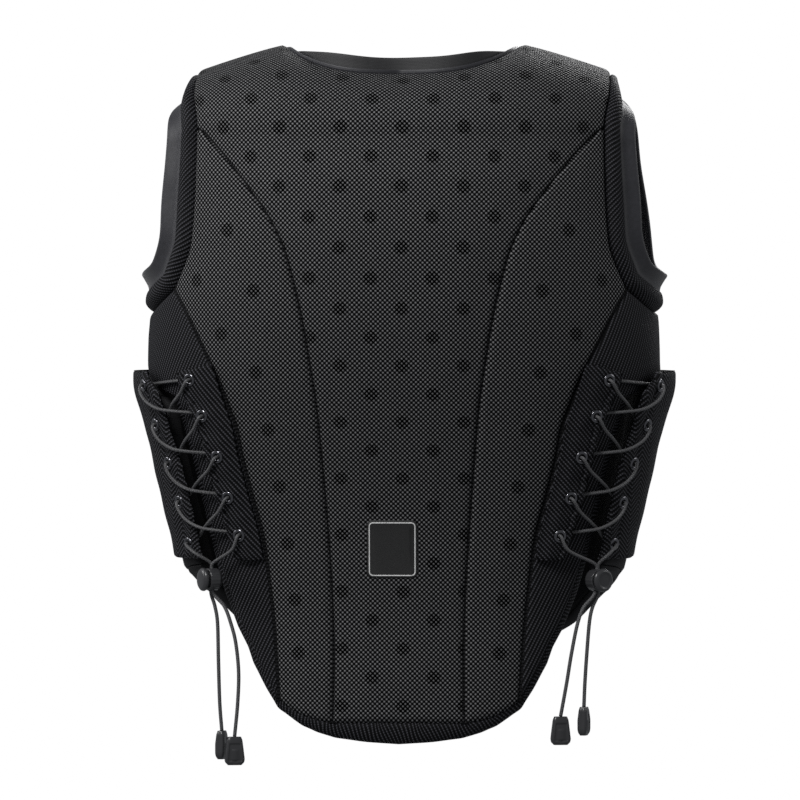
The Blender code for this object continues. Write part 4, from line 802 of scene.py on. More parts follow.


# %% [markdown]
# The cords come first. Four free tails hang from the two cord locks, along given points.
# Each is a round tube round its centreline.
# A clamshell cord end closes each tail: half width w(d) and half wall t(d) at depth d.

# %% Cord tails and their ends
TAIL_ROUTES = {
    "left_outer": (
        (-0.1543, -0.0768, -0.4224), (-0.1543, -0.0768, -0.4335), (-0.1512, -0.0772, -0.4440),
        (-0.1490, -0.0775, -0.4580), (-0.1483, -0.0770, -0.4894), (-0.1474, -0.0755, -0.5229),
        (-0.1458, -0.0740, -0.5458),
    ),
    "left_inner": (
        (-0.1527, -0.0800, -0.4224), (-0.1520, -0.0802, -0.4335), (-0.1430, -0.0825, -0.4440),
        (-0.1375, -0.0850, -0.4580), (-0.1334, -0.0868, -0.4740), (-0.1311, -0.0875, -0.4976),
        (-0.1319, -0.0878, -0.5229), (-0.1344, -0.0878, -0.5498),
    ),
    "right_outer": (
        (0.1618, -0.0772, -0.4224), (0.1614, -0.0772, -0.4335), (0.1570, -0.0782, -0.4440),
        (0.1545, -0.0788, -0.4560), (0.1524, -0.0785, -0.4812), (0.1508, -0.0778, -0.5057),
        (0.1500, -0.0775, -0.5253),
    ),
    "right_inner": (
        (0.1592, -0.0796, -0.4224), (0.1584, -0.0800, -0.4335), (0.1500, -0.0830, -0.4440),
        (0.1450, -0.0848, -0.4570), (0.1401, -0.0858, -0.4812), (0.1361, -0.0855, -0.5057),
        (0.1312, -0.0850, -0.5327),
    ),
}
CORD_DIAMETER = 0.003
END_WIDTH, END_LENGTH, END_WALL = 0.0165, 0.0230, 0.0092
END_TURN = {"outer": 78.0, "inner": 12.0}
print("tails:", list(TAIL_ROUTES))


# %% Paths and tubes
def unit(vector):
    """Vectors scaled to length one."""
    return vector / np.linalg.norm(vector, axis=-1, keepdims=True)


def through_points(points, step):
    """Even points along a smooth curve through the given ones."""
    points = np.asarray(points, float)
    padded = np.concatenate([[2 * points[0] - points[1]], points, [2 * points[-1] - points[-2]]])
    found = []
    for a, b, c, d in zip(padded, padded[1:], padded[2:], padded[3:]):
        for t in np.linspace(0, 1, 40, endpoint=False):
            found.append(cubic_between(a, b, c, d, t))
    found = np.array(found + [points[-1]])
    length = np.concatenate([[0], np.cumsum(np.linalg.norm(np.diff(found, axis=0), axis=1))])
    at = np.linspace(0, length[-1], max(8, round(length[-1] / step)))
    return np.stack([np.interp(at, length, found[:, k]) for k in range(3)], -1)


def tube_rings(path, radius, sides=14):
    """Circles of points round a path. Each circle turns as little as it can from the one before."""
    tangent = unit(np.gradient(path, axis=0))
    way = unit(np.cross(tangent[0], [0.31, 0.2, 0.93]))
    turns = np.arange(sides) * math.tau / sides
    rings = []
    for point, ahead in zip(path, tangent):
        way = unit(way - ahead * np.dot(way, ahead))
        other = np.cross(ahead, way)
        rings.append(point + radius * (np.cos(turns)[:, None] * way + np.sin(turns)[:, None] * other))
    return np.array(rings)


def cord_tube(name, path, nodes=(), diameter=CORD_DIAMETER):
    """A braided cord along a path. Its map runs along it in metres and round it in turns."""
    rings = tube_rings(path, diameter / 2)
    cloth = ring_map(rings)
    cloth[..., 1] = np.arange(rings.shape[1]) / rings.shape[1]
    made = piece(name, rings, hoop(rings, False), cloth, "cord", nodes)
    return made
print("points on a metre of cord:", len(through_points([[0, 0, 0], [0, 0, 1]], 0.0012)))


# %% The cord ends
END_PLACES = (0, 0.10, 0.45, 0.80, 0.93, 1.0)
END_WIDTHS = (0.62, 0.76, 0.88, 1.00, 0.92, 0.62)
END_WALLS = (0.60, 0.78, 1.00, 0.95, 0.80, 0.50)


def cord_end(name, tip, turn, nodes):
    """A clamshell end under a tip: a rounded rectangle that widens down to a notched lip, with a
    recessed panel on each face and a raised rim round it."""
    rows = np.linspace(0, 1, 46)
    width = np.interp(rows, END_PLACES, END_WIDTHS) * END_WIDTH / 2
    wall = np.interp(rows, END_PLACES, END_WALLS) * END_WALL / 2
    width, wall = (np.convolve(np.pad(size, 2, mode="edge"), np.ones(5) / 5, "valid")
                   for size in (width, wall))
    turns = np.arange(72) * math.tau / 72
    x = np.sign(np.cos(turns)) * np.abs(np.cos(turns)) ** 0.5
    y = np.sign(np.sin(turns)) * np.abs(np.sin(turns)) ** 0.5
    down = rows[:, None]
    inside = smoothstep((0.80 - np.abs(x)) / 0.14) * smoothstep((down - 0.20) / 0.08)
    inside = inside * smoothstep((0.90 - down) / 0.07)
    tongue = smoothstep((0.34 - np.abs(x)) / 0.10) * smoothstep((down - 0.42) / 0.06)
    tongue = tongue * smoothstep((0.98 - down) / 0.05)
    slot_share = smoothstep((0.30 - np.abs(x)) / 0.08) * smoothstep((down - 0.80) / 0.04)
    slot_share = slot_share * smoothstep((0.93 - down) / 0.04)
    flat = smoothstep((np.abs(y) - 0.90) / 0.08)
    sink = (0.0011 * inside - 0.0009 * tongue * inside + 0.0012 * slot_share) * flat
    split = 0.0005 * smoothstep((0.10 - np.abs(y)) / 0.06) * smoothstep((down - 0.03) / 0.05)
    grid = np.stack([width[:, None] * x * (1 - split / 0.006), (wall[:, None] - sink) * y,
                     np.broadcast_to(-rows[:, None] * END_LENGTH, (46, 72))], -1)
    angle = math.radians(turn)
    spin = np.array([[math.cos(angle), -math.sin(angle), 0],
                     [math.sin(angle), math.cos(angle), 0], [0, 0, 1]])
    rings = grid @ spin.T + np.asarray(tip) - [0, 0, 0.0002]
    return piece(name, rings, hoop(rings, False), no_map(rings), "plastic", nodes)
print("cord end:", END_WIDTH, "m wide and", END_LENGTH, "m long")

# %% The four tails
for place, route in TAIL_ROUTES.items():
    path = through_points(route, 0.0012)
    tail = cord_tube("tail_" + place, path, ["lace_tail_" + place])
    end = cord_end("end_" + place, route[-1], END_TURN[place.split("_")[1]], ["cord_end_" + place])
# %% [markdown]
# The foam panels are patches between seams. Each is padded: near its edges the cloth rounds down
# into the seam, and the foam swells a little where the panel is wide. A cloth simulation could
# puff it, but a lift that grows with the distance from the edge is the same at every run.

# %% Foam panels
EDGE_WIDTH, EDGE_DROP = 0.0065, 0.0042


def foam_panel(name, grid, look, nodes, side=1, swell=0.0012):
    """A padded panel over a grid of angles and heights."""
    angle, height = grid[..., 0], grid[..., 1]
    base = skin(angle, height)
    left, right = lengths(base, 1)
    low, high = lengths(base, 0)
    distance = np.minimum(np.minimum(left, right), np.minimum(low, high))
    lift = swell * smoothstep(distance / 0.035) - rounded(distance, EDGE_WIDTH, EDGE_DROP)
    outer = base + skin_normal(angle, height) * lift[..., None]
    inner = lifted(angle, height, -FOAM_WALL + rounded(distance, 0.004, 0.002))
    points, faces = slab(outer, inner)
    cloth = cloth_map(angle, height)
    both_faces = np.concatenate([cloth.reshape(-1, 2)] * 2)
    made = piece(name, points, faces, both_faces, look, nodes, side=side)
    return made


neck_angles = np.linspace(0, NECK_ANGLE, 60)
neck_heights = np.array([neck_back_height(angle) for angle in neck_angles])
front_neck_angles = np.linspace(180 - NECK_ANGLE, 180, 80)
front_neck_heights = np.array([neck_front_height(angle) for angle in front_neck_angles])
front_neck_heights[0] = RIDGE - SHOULDER_GAP


def neck_limit(step, height):
    """Height of the back panel's top edge."""
    return np.interp(np.abs(to_angle(step)), neck_angles, neck_heights, right=RIDGE - SHOULDER_GAP)


def front_neck_limit(step, height):
    """Height of the front panel's top edge."""
    return np.interp(to_angle(step), front_neck_angles, front_neck_heights, left=RIDGE - SHOULDER_GAP)


def front_hem_limit(step, height):
    """Height of the front panel's lower edge."""
    return -FRONT_LENGTH * front_hem_share(to_angle(step))


def level(height):
    """An end at one height."""
    return lambda step, _: np.full(np.shape(step), height)


def relaxed(grid, times=900):
    """A grid whose inner points are each drawn to the mean of their four neighbours."""
    grid = grid.copy()
    for _ in range(times):
        grid[1:-1, 1:-1] = (grid[:-2, 1:-1] + grid[2:, 1:-1] + grid[1:-1, :-2] + grid[1:-1, 2:]) / 4
    return grid


seam_heights = np.linspace(PRINCESS_LOW, SEAM_TIP, 160)
princess = seam_curve(princess_seam, seam_heights)
outer_line = seam_curve(outer_seam, np.linspace(OUTER_LOW, -ARMHOLE_CORNER, 120))
armhole_back = seam_curve(armhole_rear, np.linspace(-ARMHOLE_CORNER, RIDGE - SHOULDER_GAP, 90))
armhole_back[-1, 0] = SHOULDER_ANGLE
back_edge = np.concatenate([princess, armhole_back[armhole_back[:, 1] > SEAM_TIP]])
side_outer = np.concatenate([outer_line, armhole_back[1:]])

coarse_edge = front_edge()
front_side = np.concatenate([smooth_through(coarse_edge[:8], 60),
                             smooth_through(coarse_edge[7:12], 40)[1:],
                             smooth_through(coarse_edge[11:], 60)[1:]])
zip_rows = np.linspace(-FRONT_LENGTH, -0.05, 80)
zip_line = np.stack([angle_of(ZIP_HALF, zip_rows, front=True), zip_rows], -1)

GRIDS = {
    "back_centre": ruled(back_edge * [-1, 1], back_edge, hem_limit, neck_limit, 120, 170),
    "back_side": ruled(princess, side_outer, hem_limit, level(SEAM_TIP), 44, 150),
    "wing": ruled(outer_line, wing_edge(), level(OUTER_LOW),
                  lambda step, _: underarm_height(to_angle(step)), 44, 110),
    "front": relaxed(ruled(zip_line, front_side, front_hem_limit, front_neck_limit, 70, 130)),
}
SIDES = (("left", -1), ("right", 1))
foam_panel("back_centre", GRIDS["back_centre"], "fine_mesh", ["back_centre_panel"])
for word, side in SIDES:
    foam_panel("back_side_" + word, GRIDS["back_side"], "fine_mesh_" + word,
               ["back_side_panel_" + word], side)
    foam_panel("wing_" + word, GRIDS["wing"], "wing", ["side_wing_" + word], side)
    foam_panel("front_" + word, GRIDS["front"], "front", ["front_panel_" + word], side)


# %% [markdown]
# Each seam between panels is closed by a narrow ribbon sunk between them, with two raised edges
# and a ladder of stitches across it: the height over its width is low + ridge cos^6, with the
# two ridges a little in from the edges. The stitches are in its finish.

# %% Seam ribbons
def seam_ribbon(name, curve, width, drop, side):
    """A sunk ribbon along a seam, from a curve of angles and heights."""
    line = skin(curve[:, 0], curve[:, 1])
    line = through_points(line, 0.0016)
    levels = skin(curve[:, 0], curve[:, 1])[:, 2]
    angles, heights = (np.interp(line[:, 2], levels, curve[:, k]) for k in range(2))
    normal = skin_normal(angles, heights)
    across = unit(np.cross(normal, np.gradient(line, axis=0)))
    shares = np.linspace(-1, 1, 13)
    rise = 0.0010 * np.cos(math.pi * (np.abs(shares) - 0.55)) ** 6
    top = [line + across * width / 2 * s - normal * (drop - r) for s, r in zip(shares, rise)]
    low = [line + across * width / 2 * s - normal * (drop + 0.0016) for s in shares[::-1]]
    rings = np.stack(top + low, axis=1)
    made = piece(name, rings, hoop(rings, False), ring_map(rings), "seam", side=side)
    return made


for word, side in SIDES:
    seam_ribbon("princess_ribbon_" + word, princess, 0.0066, 0.0023, side)
    seam_ribbon("outer_ribbon_" + word, outer_line, 0.0072, 0.0020, side)
print("seam ribbons:", 2 * len(SIDES))

# %% [markdown]
# Bands close the edges: a coarse-mesh gusset and a smooth trim round each armhole, a rolled
# binding and a facing at the neck, and rolled hems. Each is a cross-section carried along a loop.
# A bevelled curve could do this, but here the section leans and narrows as it goes round.

# %% Loops and cross-sections
GUSSET_WIDTH, GUSSET_TIP_WALL, TRIM_WIDTH, TRIM_WALL = 0.0165, 0.006, 0.0155, 0.003
LEAN_ABOVE, LEAN_ABOVE_SIDES, LEAN_BELOW, LEAN_BELOW_SIDES = 12, 46, 16, 42
GUSSET_LEAN_BACK, TRIM_LEAN_OUT, LEAN_EASING, TRIM_EASING = 0.14, 0.18, 150, 36
BAND_NARROWING, GUSSET_PUFF = 0.16, 0.0030
NECK_BINDING_HEIGHT, NECK_FACING_TOP, NECK_FACING_WALL = 0.0042, 0.0052, 0.0055


def loop_tangent(points):
    """Directions along a closed loop of points."""
    return unit(np.roll(points, -1, axis=0) - np.roll(points, 1, axis=0))


def eased(values, times=60):
    """Values round a loop, each pulled towards its neighbours many times."""
    for _ in range(times):
        values = (np.roll(values, 1, axis=0) + 2 * values + np.roll(values, -1, axis=0)) / 4
    return values


def even_loop(curve, count):
    """Points and outward normals evenly along a closed loop of angles and heights."""
    curve = np.concatenate([curve, curve[:1]])
    points = skin(curve[:, 0], curve[:, 1])
    normals = skin_normal(curve[:, 0], curve[:, 1])
    length = np.concatenate([[0], np.cumsum(np.linalg.norm(np.diff(points, axis=0), axis=1))])
    at = np.arange(count) / count * length[-1]
    root, normal = (np.stack([np.interp(at, length, rows[:, k]) for k in range(3)], -1)
                    for rows in (points, normals))
    return eased(root, 3), unit(eased(normal, 12))


def rounder(rings, sides=4):
    """Cross-sections with more points: a closed smooth curve through the given ones."""
    rings = np.asarray(rings)
    a, b, c, d = (np.roll(rings, k, axis=1) for k in (1, 0, -1, -2))
    parts = []
    for t in np.arange(sides) / sides:
        parts.append(cubic_between(a, b, c, d, t))
    return np.stack(parts, axis=2).reshape(len(rings), -1, 3)


def band(name, rings, look, nodes, closed=True, side=1):
    """A padded band through cross-sections, with its map along and round it."""
    made = piece(name, rings, hoop(rings, closed), ring_map(rings), look, nodes, side=side)
    return made
print("band rules: above", LEAN_ABOVE, "below", LEAN_BELOW, "degrees of lean")


# %% The armhole bands
def armhole_loop():
    """Points and normals round the armhole, from its lowest point up the back and down the front."""
    angles = np.linspace(WING_SIDE, outer_line[-1, 0], 20)
    low = np.stack([angles, underarm_height(angles)], -1)
    front = front_side[front_side[:, 1] >= -ARMHOLE_BOTTOM][::-1]
    return even_loop(np.concatenate([low, armhole_back[1:], front[:-1]]), 300)


def armhole_bands(word, side):
    """The coarse gusset and the smooth trim. Both lean out of the armhole most at its sides."""
    root, normal = armhole_loop()
    tangent = loop_tangent(root)
    centre = root.mean(axis=0)
    inward = unit(np.cross(tangent, normal))
    inward = inward * np.sign(np.sum(inward * (centre - root), axis=1))[:, None]
    toward = unit((centre - root) * [0, 1, 1])
    rise = toward[:, 2]
    above = LEAN_ABOVE + LEAN_ABOVE_SIDES * (1 - np.abs(rise) ** 2.4)
    below = LEAN_BELOW + LEAN_BELOW_SIDES * (1 - rise**10)
    lean = np.radians(np.where(rise > 0, above, below))
    narrow = (1 - BAND_NARROWING * np.maximum(0, -rise))[:, None]
    ahead = np.array([1.0, 0, 0])
    front = normal * 0.6 + ahead

    def leaning(turn):
        """The way into the armhole, leant outwards by an angle in radians."""
        return unit(eased(toward * np.cos(turn)[:, None] + ahead * np.sin(turn)[:, None], LEAN_EASING))

    gusset, trim = leaning(lean - GUSSET_LEAN_BACK), leaning(lean + TRIM_LEAN_OUT)
    start = root + inward * 0.0004
    face = unit(np.cross(tangent, gusset))
    face = face * np.sign(np.sum(face * front, axis=1))[:, None]
    tip = start + gusset * GUSSET_WIDTH * narrow
    rings = np.stack([
        start - normal * EDGE_DROP, start * 0.72 + tip * 0.28 + face * GUSSET_PUFF * 0.6,
        start * 0.40 + tip * 0.60 + face * GUSSET_PUFF, tip + face * 0.0002,
        tip - face * GUSSET_TIP_WALL,
        start * 0.5 + tip * 0.5 - face * (GUSSET_TIP_WALL + 0.004), start - normal * FOAM_WALL,
    ], axis=1)
    band("gusset_" + word, rounder(rings), "gusset",
         ["armhole_gusset_" + word], side=side)
    cover = unit(np.cross(tangent, trim))
    cover = cover * np.sign(np.sum(cover * front, axis=1))[:, None]
    base = tip + gusset * 0.0002 - face * (GUSSET_TIP_WALL / 2)
    end = eased(base + trim * TRIM_WIDTH * narrow, TRIM_EASING)
    half = TRIM_WALL / 2
    rings = np.stack([
        base + cover * (half + 0.0006), base * 0.7 + end * 0.3 + cover * half * 0.75,
        base * 0.3 + end * 0.7 + cover * half, end + cover * half * 1.25, end + trim * 0.0014,
        end - cover * half * 1.25, base * 0.5 + end * 0.5 - cover * half,
        base - cover * half,
    ], axis=1)
    band("trim_" + word, rounder(rings, 3), "lycra", ["armhole_trim_" + word], side=side)
for word, side in SIDES:
    armhole_bands(word, side)
print("armhole loop:", len(armhole_loop()[0]), "cross-sections")


# %% The neck bands
def neck_bands():
    """The rolled binding on the neck edge and the smooth facing that stands up inside it."""
    back = np.stack([neck_angles, neck_heights], -1)
    front = np.stack([front_neck_angles, front_neck_heights], -1)
    half = np.concatenate([back, front])
    loop = np.roll(np.concatenate([half, half[-2:0:-1] * [-1, 1]]), 1 - len(half), axis=0)
    root, normal = even_loop(loop, 360)
    tangent = loop_tangent(root)
    inward = unit(np.cross(tangent, normal))
    middle = root.mean(axis=0) + [0, 0, 0.05]
    inward = inward * np.sign(np.sum(inward * (middle - root), axis=1))[:, None]
    inward = unit(eased(inward, 6))
    behind = smoothstep(-root[:, 1] / BACK_DEPTH * 2.2)[:, None]
    stand = unit(inward * (1 - 0.85 * behind) + np.array([0, 0, 1.1]) * behind)
    start = root + inward * 0.0002
    outer, inner = start - normal * SEAM_DROP, start - normal * FOAM_WALL
    tall = stand * NECK_BINDING_HEIGHT
    rings = np.stack([
        outer - normal * 0.0006, outer + tall * 0.35 + normal * 0.0012,
        outer + tall * 0.85 + normal * 0.0006,
        outer + tall - normal * 0.0030, inner + tall + normal * 0.0010, inner,
    ], axis=1)
    band("neck_roll", rounder(rings), "lycra", ["neck_binding"])
    foot = inner + tall + inward * 0.0004 + normal * 0.0022
    head = foot + normal * NECK_FACING_WALL
    upright = np.maximum(0.3, stand[:, 2:])
    height = 0.0022 + behind * np.clip((NECK_FACING_TOP - foot[:, 2:]) / upright - 0.0022, 0, 0.014)
    wave = np.sin(np.arange(len(root)) * math.tau / 30)[:, None] * 0.0005
    rings = np.stack([
        head, head + stand * height * 0.5 + normal * 0.0004,
        head + stand * height * 0.88 + normal * wave,
        (head + foot) / 2 + stand * height, foot + stand * height * 0.85, foot,
    ], axis=1)
    band("neck_inside", rounder(eased(rings, 80)), "facing", ["neck_facing"])
neck_bands()


# %% The hems
def hem_roll(name, edges, tips, look, nodes, side=1):
    """A half-round rolled edge from the face of the panel over its cut edge to the inside."""
    edges, tips = np.asarray(edges), np.asarray(tips)
    normal = skin_normal(edges[:, 0], edges[:, 1])
    middle = skin(edges[:, 0], edges[:, 1]) - normal * (FOAM_WALL + SEAM_DROP) / 2
    outer = normal * (FOAM_WALL - SEAM_DROP) / 2
    end = skin(tips[:, 0], tips[:, 1]) - normal * (FOAM_WALL + SEAM_DROP) / 2
    turns = np.radians(np.linspace(90, -90, 16))
    rings = [middle + (end - middle) * math.cos(turn) ** 0.8 + outer * math.sin(turn) for turn in turns]
    return band(name, np.stack(rings, axis=1), look, nodes, False, side)


def hems():
    """The rolled coarse edge round the tail and the black one along the front."""
    shares = np.linspace(-1, 1, 361)
    tip_rows = [tuple(tail_point(share)) for share in np.linspace(0, 1, 40)]
    edge_rows = [tuple(hem_edge(share, HEM_GAP * 2)) for share in np.linspace(0, 1, 26)]
    numbered = [[(n / (len(rows) - 1), *row) for n, row in enumerate(rows)]
                for rows in (tip_rows, edge_rows)]
    curves = [[smooth_table(rows, 0, key) for key in (1, 2)] for rows in numbered]
    tips, edges = ([(math.copysign(float(angle_of(x(abs(s)), z(abs(s)))), s), float(z(abs(s))))
                    for s in shares]
                   for x, z in curves)
    hem_roll("tail_hem", edges, tips, "hem", ["back_hem_binding"])
    angles = np.linspace(float(angle_of(ZIP_HALF, -FRONT_LENGTH, front=True)), front_side[0, 0], 90)
    heights = -FRONT_LENGTH * front_hem_share(angles)
    for word, side in SIDES:
        hem_roll("front_hem_" + word, np.stack([angles, heights - 0.0001], -1),
                 np.stack([angles, heights - FRONT_HEM_DEPTH], -1), "front",
                 ["front_hem_binding_" + word], side)


hems()

# %% [markdown]
# Low on the centre back is a sewn-on patch: a plain rounded rectangle of black woven cloth with
# a narrow, pale, raised border. Ground and border are rings drawn in step by step and lifted off
# the skin, so the patch bends with the back as sewn cloth does.

# %% The plain patch
PATCH_CENTRE, PATCH_HALF, PATCH_CORNER = (-0.0050, -0.3960), (0.0205, 0.0235), 0.0050


def patch_ring(inset):
    """A rounded rectangle about the patch's centre, drawn in by an inset."""
    corner = max(PATCH_CORNER - inset, 0.0008)
    flat = np.array(PATCH_HALF) - inset - corner
    found = []
    for turn, (across, up) in enumerate(((1, 1), (-1, 1), (-1, -1), (1, -1))):
        turns = np.radians(np.linspace(0, 90, 12) + 90 * turn)
        arc = flat * [across, up] + corner * np.stack([np.cos(turns), np.sin(turns)], -1)
        following = (flat * ([-1, 1], [-1, -1], [1, -1], [1, 1])[turn]
                     + corner * np.array([np.cos(turns[-1]), np.sin(turns[-1])]))
        side = arc[-1] + (following - arc[-1]) * np.linspace(0, 1, 14)[1:-1, None]
        found += [arc, side]
    return np.array(PATCH_CENTRE) + np.concatenate(found)


def patch_layer(name, insets, rises, look):
    """A thin sewn layer of the patch, from rings drawn in step by step."""
    rings = []
    for inset, rise in zip(insets, rises):
        flat = patch_ring(inset)
        angles = angle_of(flat[:, 0], flat[:, 1]) * np.sign(flat[:, 0])
        rings.append(lifted(angles, flat[:, 1], np.full(len(flat), 0.0012 + rise)))
    rings = np.array(rings)
    made = piece(name, rings, hoop(rings, False), rings[..., [0, 2]], look)
    return made


patch_layer("patch_ground", (0.0003, 0.0, 0.0, 0.0008, 0.0022, 0.0060),
            (-0.0010, -0.0006, 0.0005, 0.0010, 0.0010, 0.0010), "patch")
border = []
for turn in np.linspace(0, math.tau, 10, endpoint=False):
    flat = patch_ring(0.0020 + 0.0005 * math.cos(turn))
    angles = angle_of(flat[:, 0], flat[:, 1]) * np.sign(flat[:, 0])
    border.append(lifted(angles, flat[:, 1], np.full(len(flat), 0.0023 + 0.0004 * math.sin(turn))))
border = np.stack(border, axis=1)
made = piece("patch_border", border, hoop(border, True), ring_map(border), "pale")
print("patch mm:", [round(2000 * half) for half in PATCH_HALF])
# %% [markdown]
# The side lacing is a tab sewn on at the outer seam, a flap that comes round from the front, ten
# eyelets and one elastic lace. The lace runs through every eyelet, down one way and back the
# other. Eyelets are placed first, and tab, flap and lace all follow from their seats.

# %% Places along the lacing
TAB_EDGE = (
    # down, across
    (0.4550, 0.8700), (0.4675, 0.8650), (0.5055, 0.8191), (0.5580, 0.7685), (0.6390, 0.7170),
    (0.6950, 0.6706), (0.7310, 0.6430),
)
FLAP_EDGE = (
    # down, across
    (0.4560, 1.0050), (0.4890, 0.9470), (0.5470, 0.8970), (0.5960, 0.8540), (0.7310, 0.7760),
)
EYELETS = (
    # inner_across, inner_down, outer_across, outer_down
    (0.8153, 0.4661, 1.0091, 0.4749), (0.7661, 0.5184, 0.9594, 0.5323),
    (0.7079, 0.5782, 0.9088, 0.5884), (0.6668, 0.6386, 0.8659, 0.6458),
    (0.6239, 0.6946, 0.8306, 0.7079),
)
INNER_STRAND = (
    # across, down, height
    (0.04, 0.08, 1.12), (0.16, 0.28, 1.00), (0.38, 0.50, 0.80), (0.60, 0.68, 0.28),
    (0.80, 0.86, 0.00),
)
OUTER_STRAND = (
    # across, down, height
    (0.05, 0.24, 1.12), (0.17, 0.52, 1.06), (0.40, 0.74, 0.98), (0.62, 0.85, 0.52),
    (0.82, 0.93, 0.00),
)
TAB_WALL, FLAP_WALL, TAB_LIFT, FLAP_LIFT = 0.0022, 0.0024, 0.0048, 0.0052
FLAP_SEAM_LIFT, FLAP_FLARE, FLAP_SEAM_ANGLE = 0.0012, 0.0075, 104.0
EYELET_OUTER, EYELET_BORE = 0.0054, 0.0024
print("tab and flap walls:", TAB_WALL, FLAP_WALL, "m")


# %% Heights over the body
def tab_lift(share):
    """Height of the tab's inner face over the wing: it rises from its seam to its free edge."""
    return FLAP_SEAM_LIFT + (TAB_LIFT - FLAP_SEAM_LIFT) * smoothstep(share / 0.45)


def flap_lift(angle, z):
    """Height of the flap's inner face over the body: it lifts at its free edge and flares on top."""
    open_side = smoothstep((89 - angle) / 15)
    flare = FLAP_FLARE * smoothstep((z + 0.315) / 0.055) * smoothstep((FLAP_SEAM_ANGLE - angle) / 14)
    low_flare = 0.0022 * smoothstep((FLAP_SEAM_ANGLE - angle) / 12)
    return FLAP_SEAM_LIFT + low_flare + (FLAP_LIFT - 0.0034) * open_side + flare * (1 - 0.55 * open_side)


def seen_angle(x, z, lift):
    """The angle where a lifted point stands at a distance from the centre, as seen from behind."""
    angle = 75.0
    for _ in range(4):
        angle = angle_seen(x, z, float(lift(angle, z)))
    return angle


def edge_angles(rows, table, lift):
    """Angles of a free edge at many heights: found at ten of them, smoothly joined."""
    heights = np.linspace(rows[0], rows[-1], 10)
    found = [(z, seen_angle(float(table(z)), z, lift)) for z in heights]
    return smooth_table(found, 0, 1)(rows)


tab_edge, flap_edge = (
    smooth_table([(-BACK_LENGTH * down, CHEST_HALF_WIDTH * across) for down, across in table], 0, 1)
    for table in (TAB_EDGE, FLAP_EDGE))


def over_tab(angle, z):
    """Lift of the tab's outer face at its free side."""
    return TAB_LIFT + TAB_WALL


def over_flap(angle, z):
    """Lift of the flap's outer face."""
    return flap_lift(angle, z) + FLAP_WALL


def seat_frame(row, angle, z, more=0.0):
    """A point on the cloth at an eyelet, with the cloth's outward normal and two directions in it."""
    lift = over_tab if row == "inner" else over_flap
    steps = [lifted(angle + turn, z + rise, lift(angle + turn, z + rise))
             for turn, rise in ((1.2, 0), (-1.2, 0), (0, 0.004), (0, -0.004))]
    across, up = unit(steps[0] - steps[1]), unit(steps[2] - steps[3])
    normal = unit(np.cross(across, up))
    up = unit(np.cross(normal, across))
    return lifted(angle, z, lift(angle, z)) + normal * more, normal, across, up
print("lift of the flap on top:", round(float(flap_lift(95.0, -0.26)), 4), "m")

# %% Seats of the eyelets
SEATS = {"inner": [], "outer": []}
for inner_across, inner_down, outer_across, outer_down in EYELETS:
    for row, across, down, lift in (("inner", inner_across, inner_down, over_tab),
                                    ("outer", outer_across, outer_down, over_flap)):
        z = -BACK_LENGTH * down
        SEATS[row].append((seen_angle(CHEST_HALF_WIDTH * across, z, lift), z))
print("eyelets from z", round(SEATS["inner"][0][1], 4), "to", round(SEATS["outer"][4][1], 4))

# %% [markdown]
# Tab and flap are thin sheets of ribbed mesh folded over at their free edges, so that the edge
# swells into a soft roll with small scallops where the stitches pull it in. Roll, stitch line
# and scallops are bell curves and waves over the distance from the edge.

# %% The tab and the flap
def cloth_sheet(name, angle, height, lift, wall, look, nodes, side, swell):
    """A thin sheet over the skin. A swell at each point makes its outer face stand higher."""
    inner = lifted(angle, height, lift - np.minimum(swell, 0.0006))
    outer = lifted(angle, height, lift + wall + swell)
    points, faces = slab(outer, inner)
    cloth = np.concatenate([cloth_map(angle, height).reshape(-1, 2)] * 2)
    made = piece(name, points, faces, cloth, look, nodes, side=side)
    return made


def tab(word, side):
    """The tab, with a scalloped soft free edge."""
    rows, columns = np.linspace(-LACING_BOTTOM, -LACING_TOP - 0.0005, 130), np.linspace(0, 1, 46)
    seam = angle_of(outer_seam(rows) + 0.0022, rows)
    edge = edge_angles(rows, tab_edge, over_tab)
    edge += 0.42 * np.sin(rows * math.tau / 0.0105) + 0.22 * np.sin(rows * math.tau / 0.0061 + 1)
    angle = seam[:, None] + columns * (edge - seam)[:, None]
    height = rows[:, None] + 0.008 * (1 - columns) * smoothstep((np.arange(130)[:, None] - 86) / 43)
    from_edge = (1 - columns) * 0.036
    share = np.broadcast_to(columns, angle.shape)
    hem_swell = 0.0011 * np.exp(-((from_edge - 0.0040) / 0.0030) ** 2)
    stitch = -0.0007 * np.exp(-((from_edge - 0.0085) / 0.0010) ** 2)
    wave = 0.0005 * np.sin(rows * math.tau / 0.021)[:, None] * columns
    thin = -rounded(np.minimum(from_edge + 0 * height, 1), 0.0030, TAB_WALL * 0.9)
    ends = np.minimum(rows - rows[0], rows[-1] - rows)[:, None]
    thin = thin - rounded(ends + 0 * height, 0.0030, TAB_WALL * 0.6)
    cloth_sheet("tab_" + word, angle, height, tab_lift(share) + 0 * height,
                TAB_WALL, "tab", ["lacing_tab_" + word], side,
                hem_swell + stitch + wave + thin)


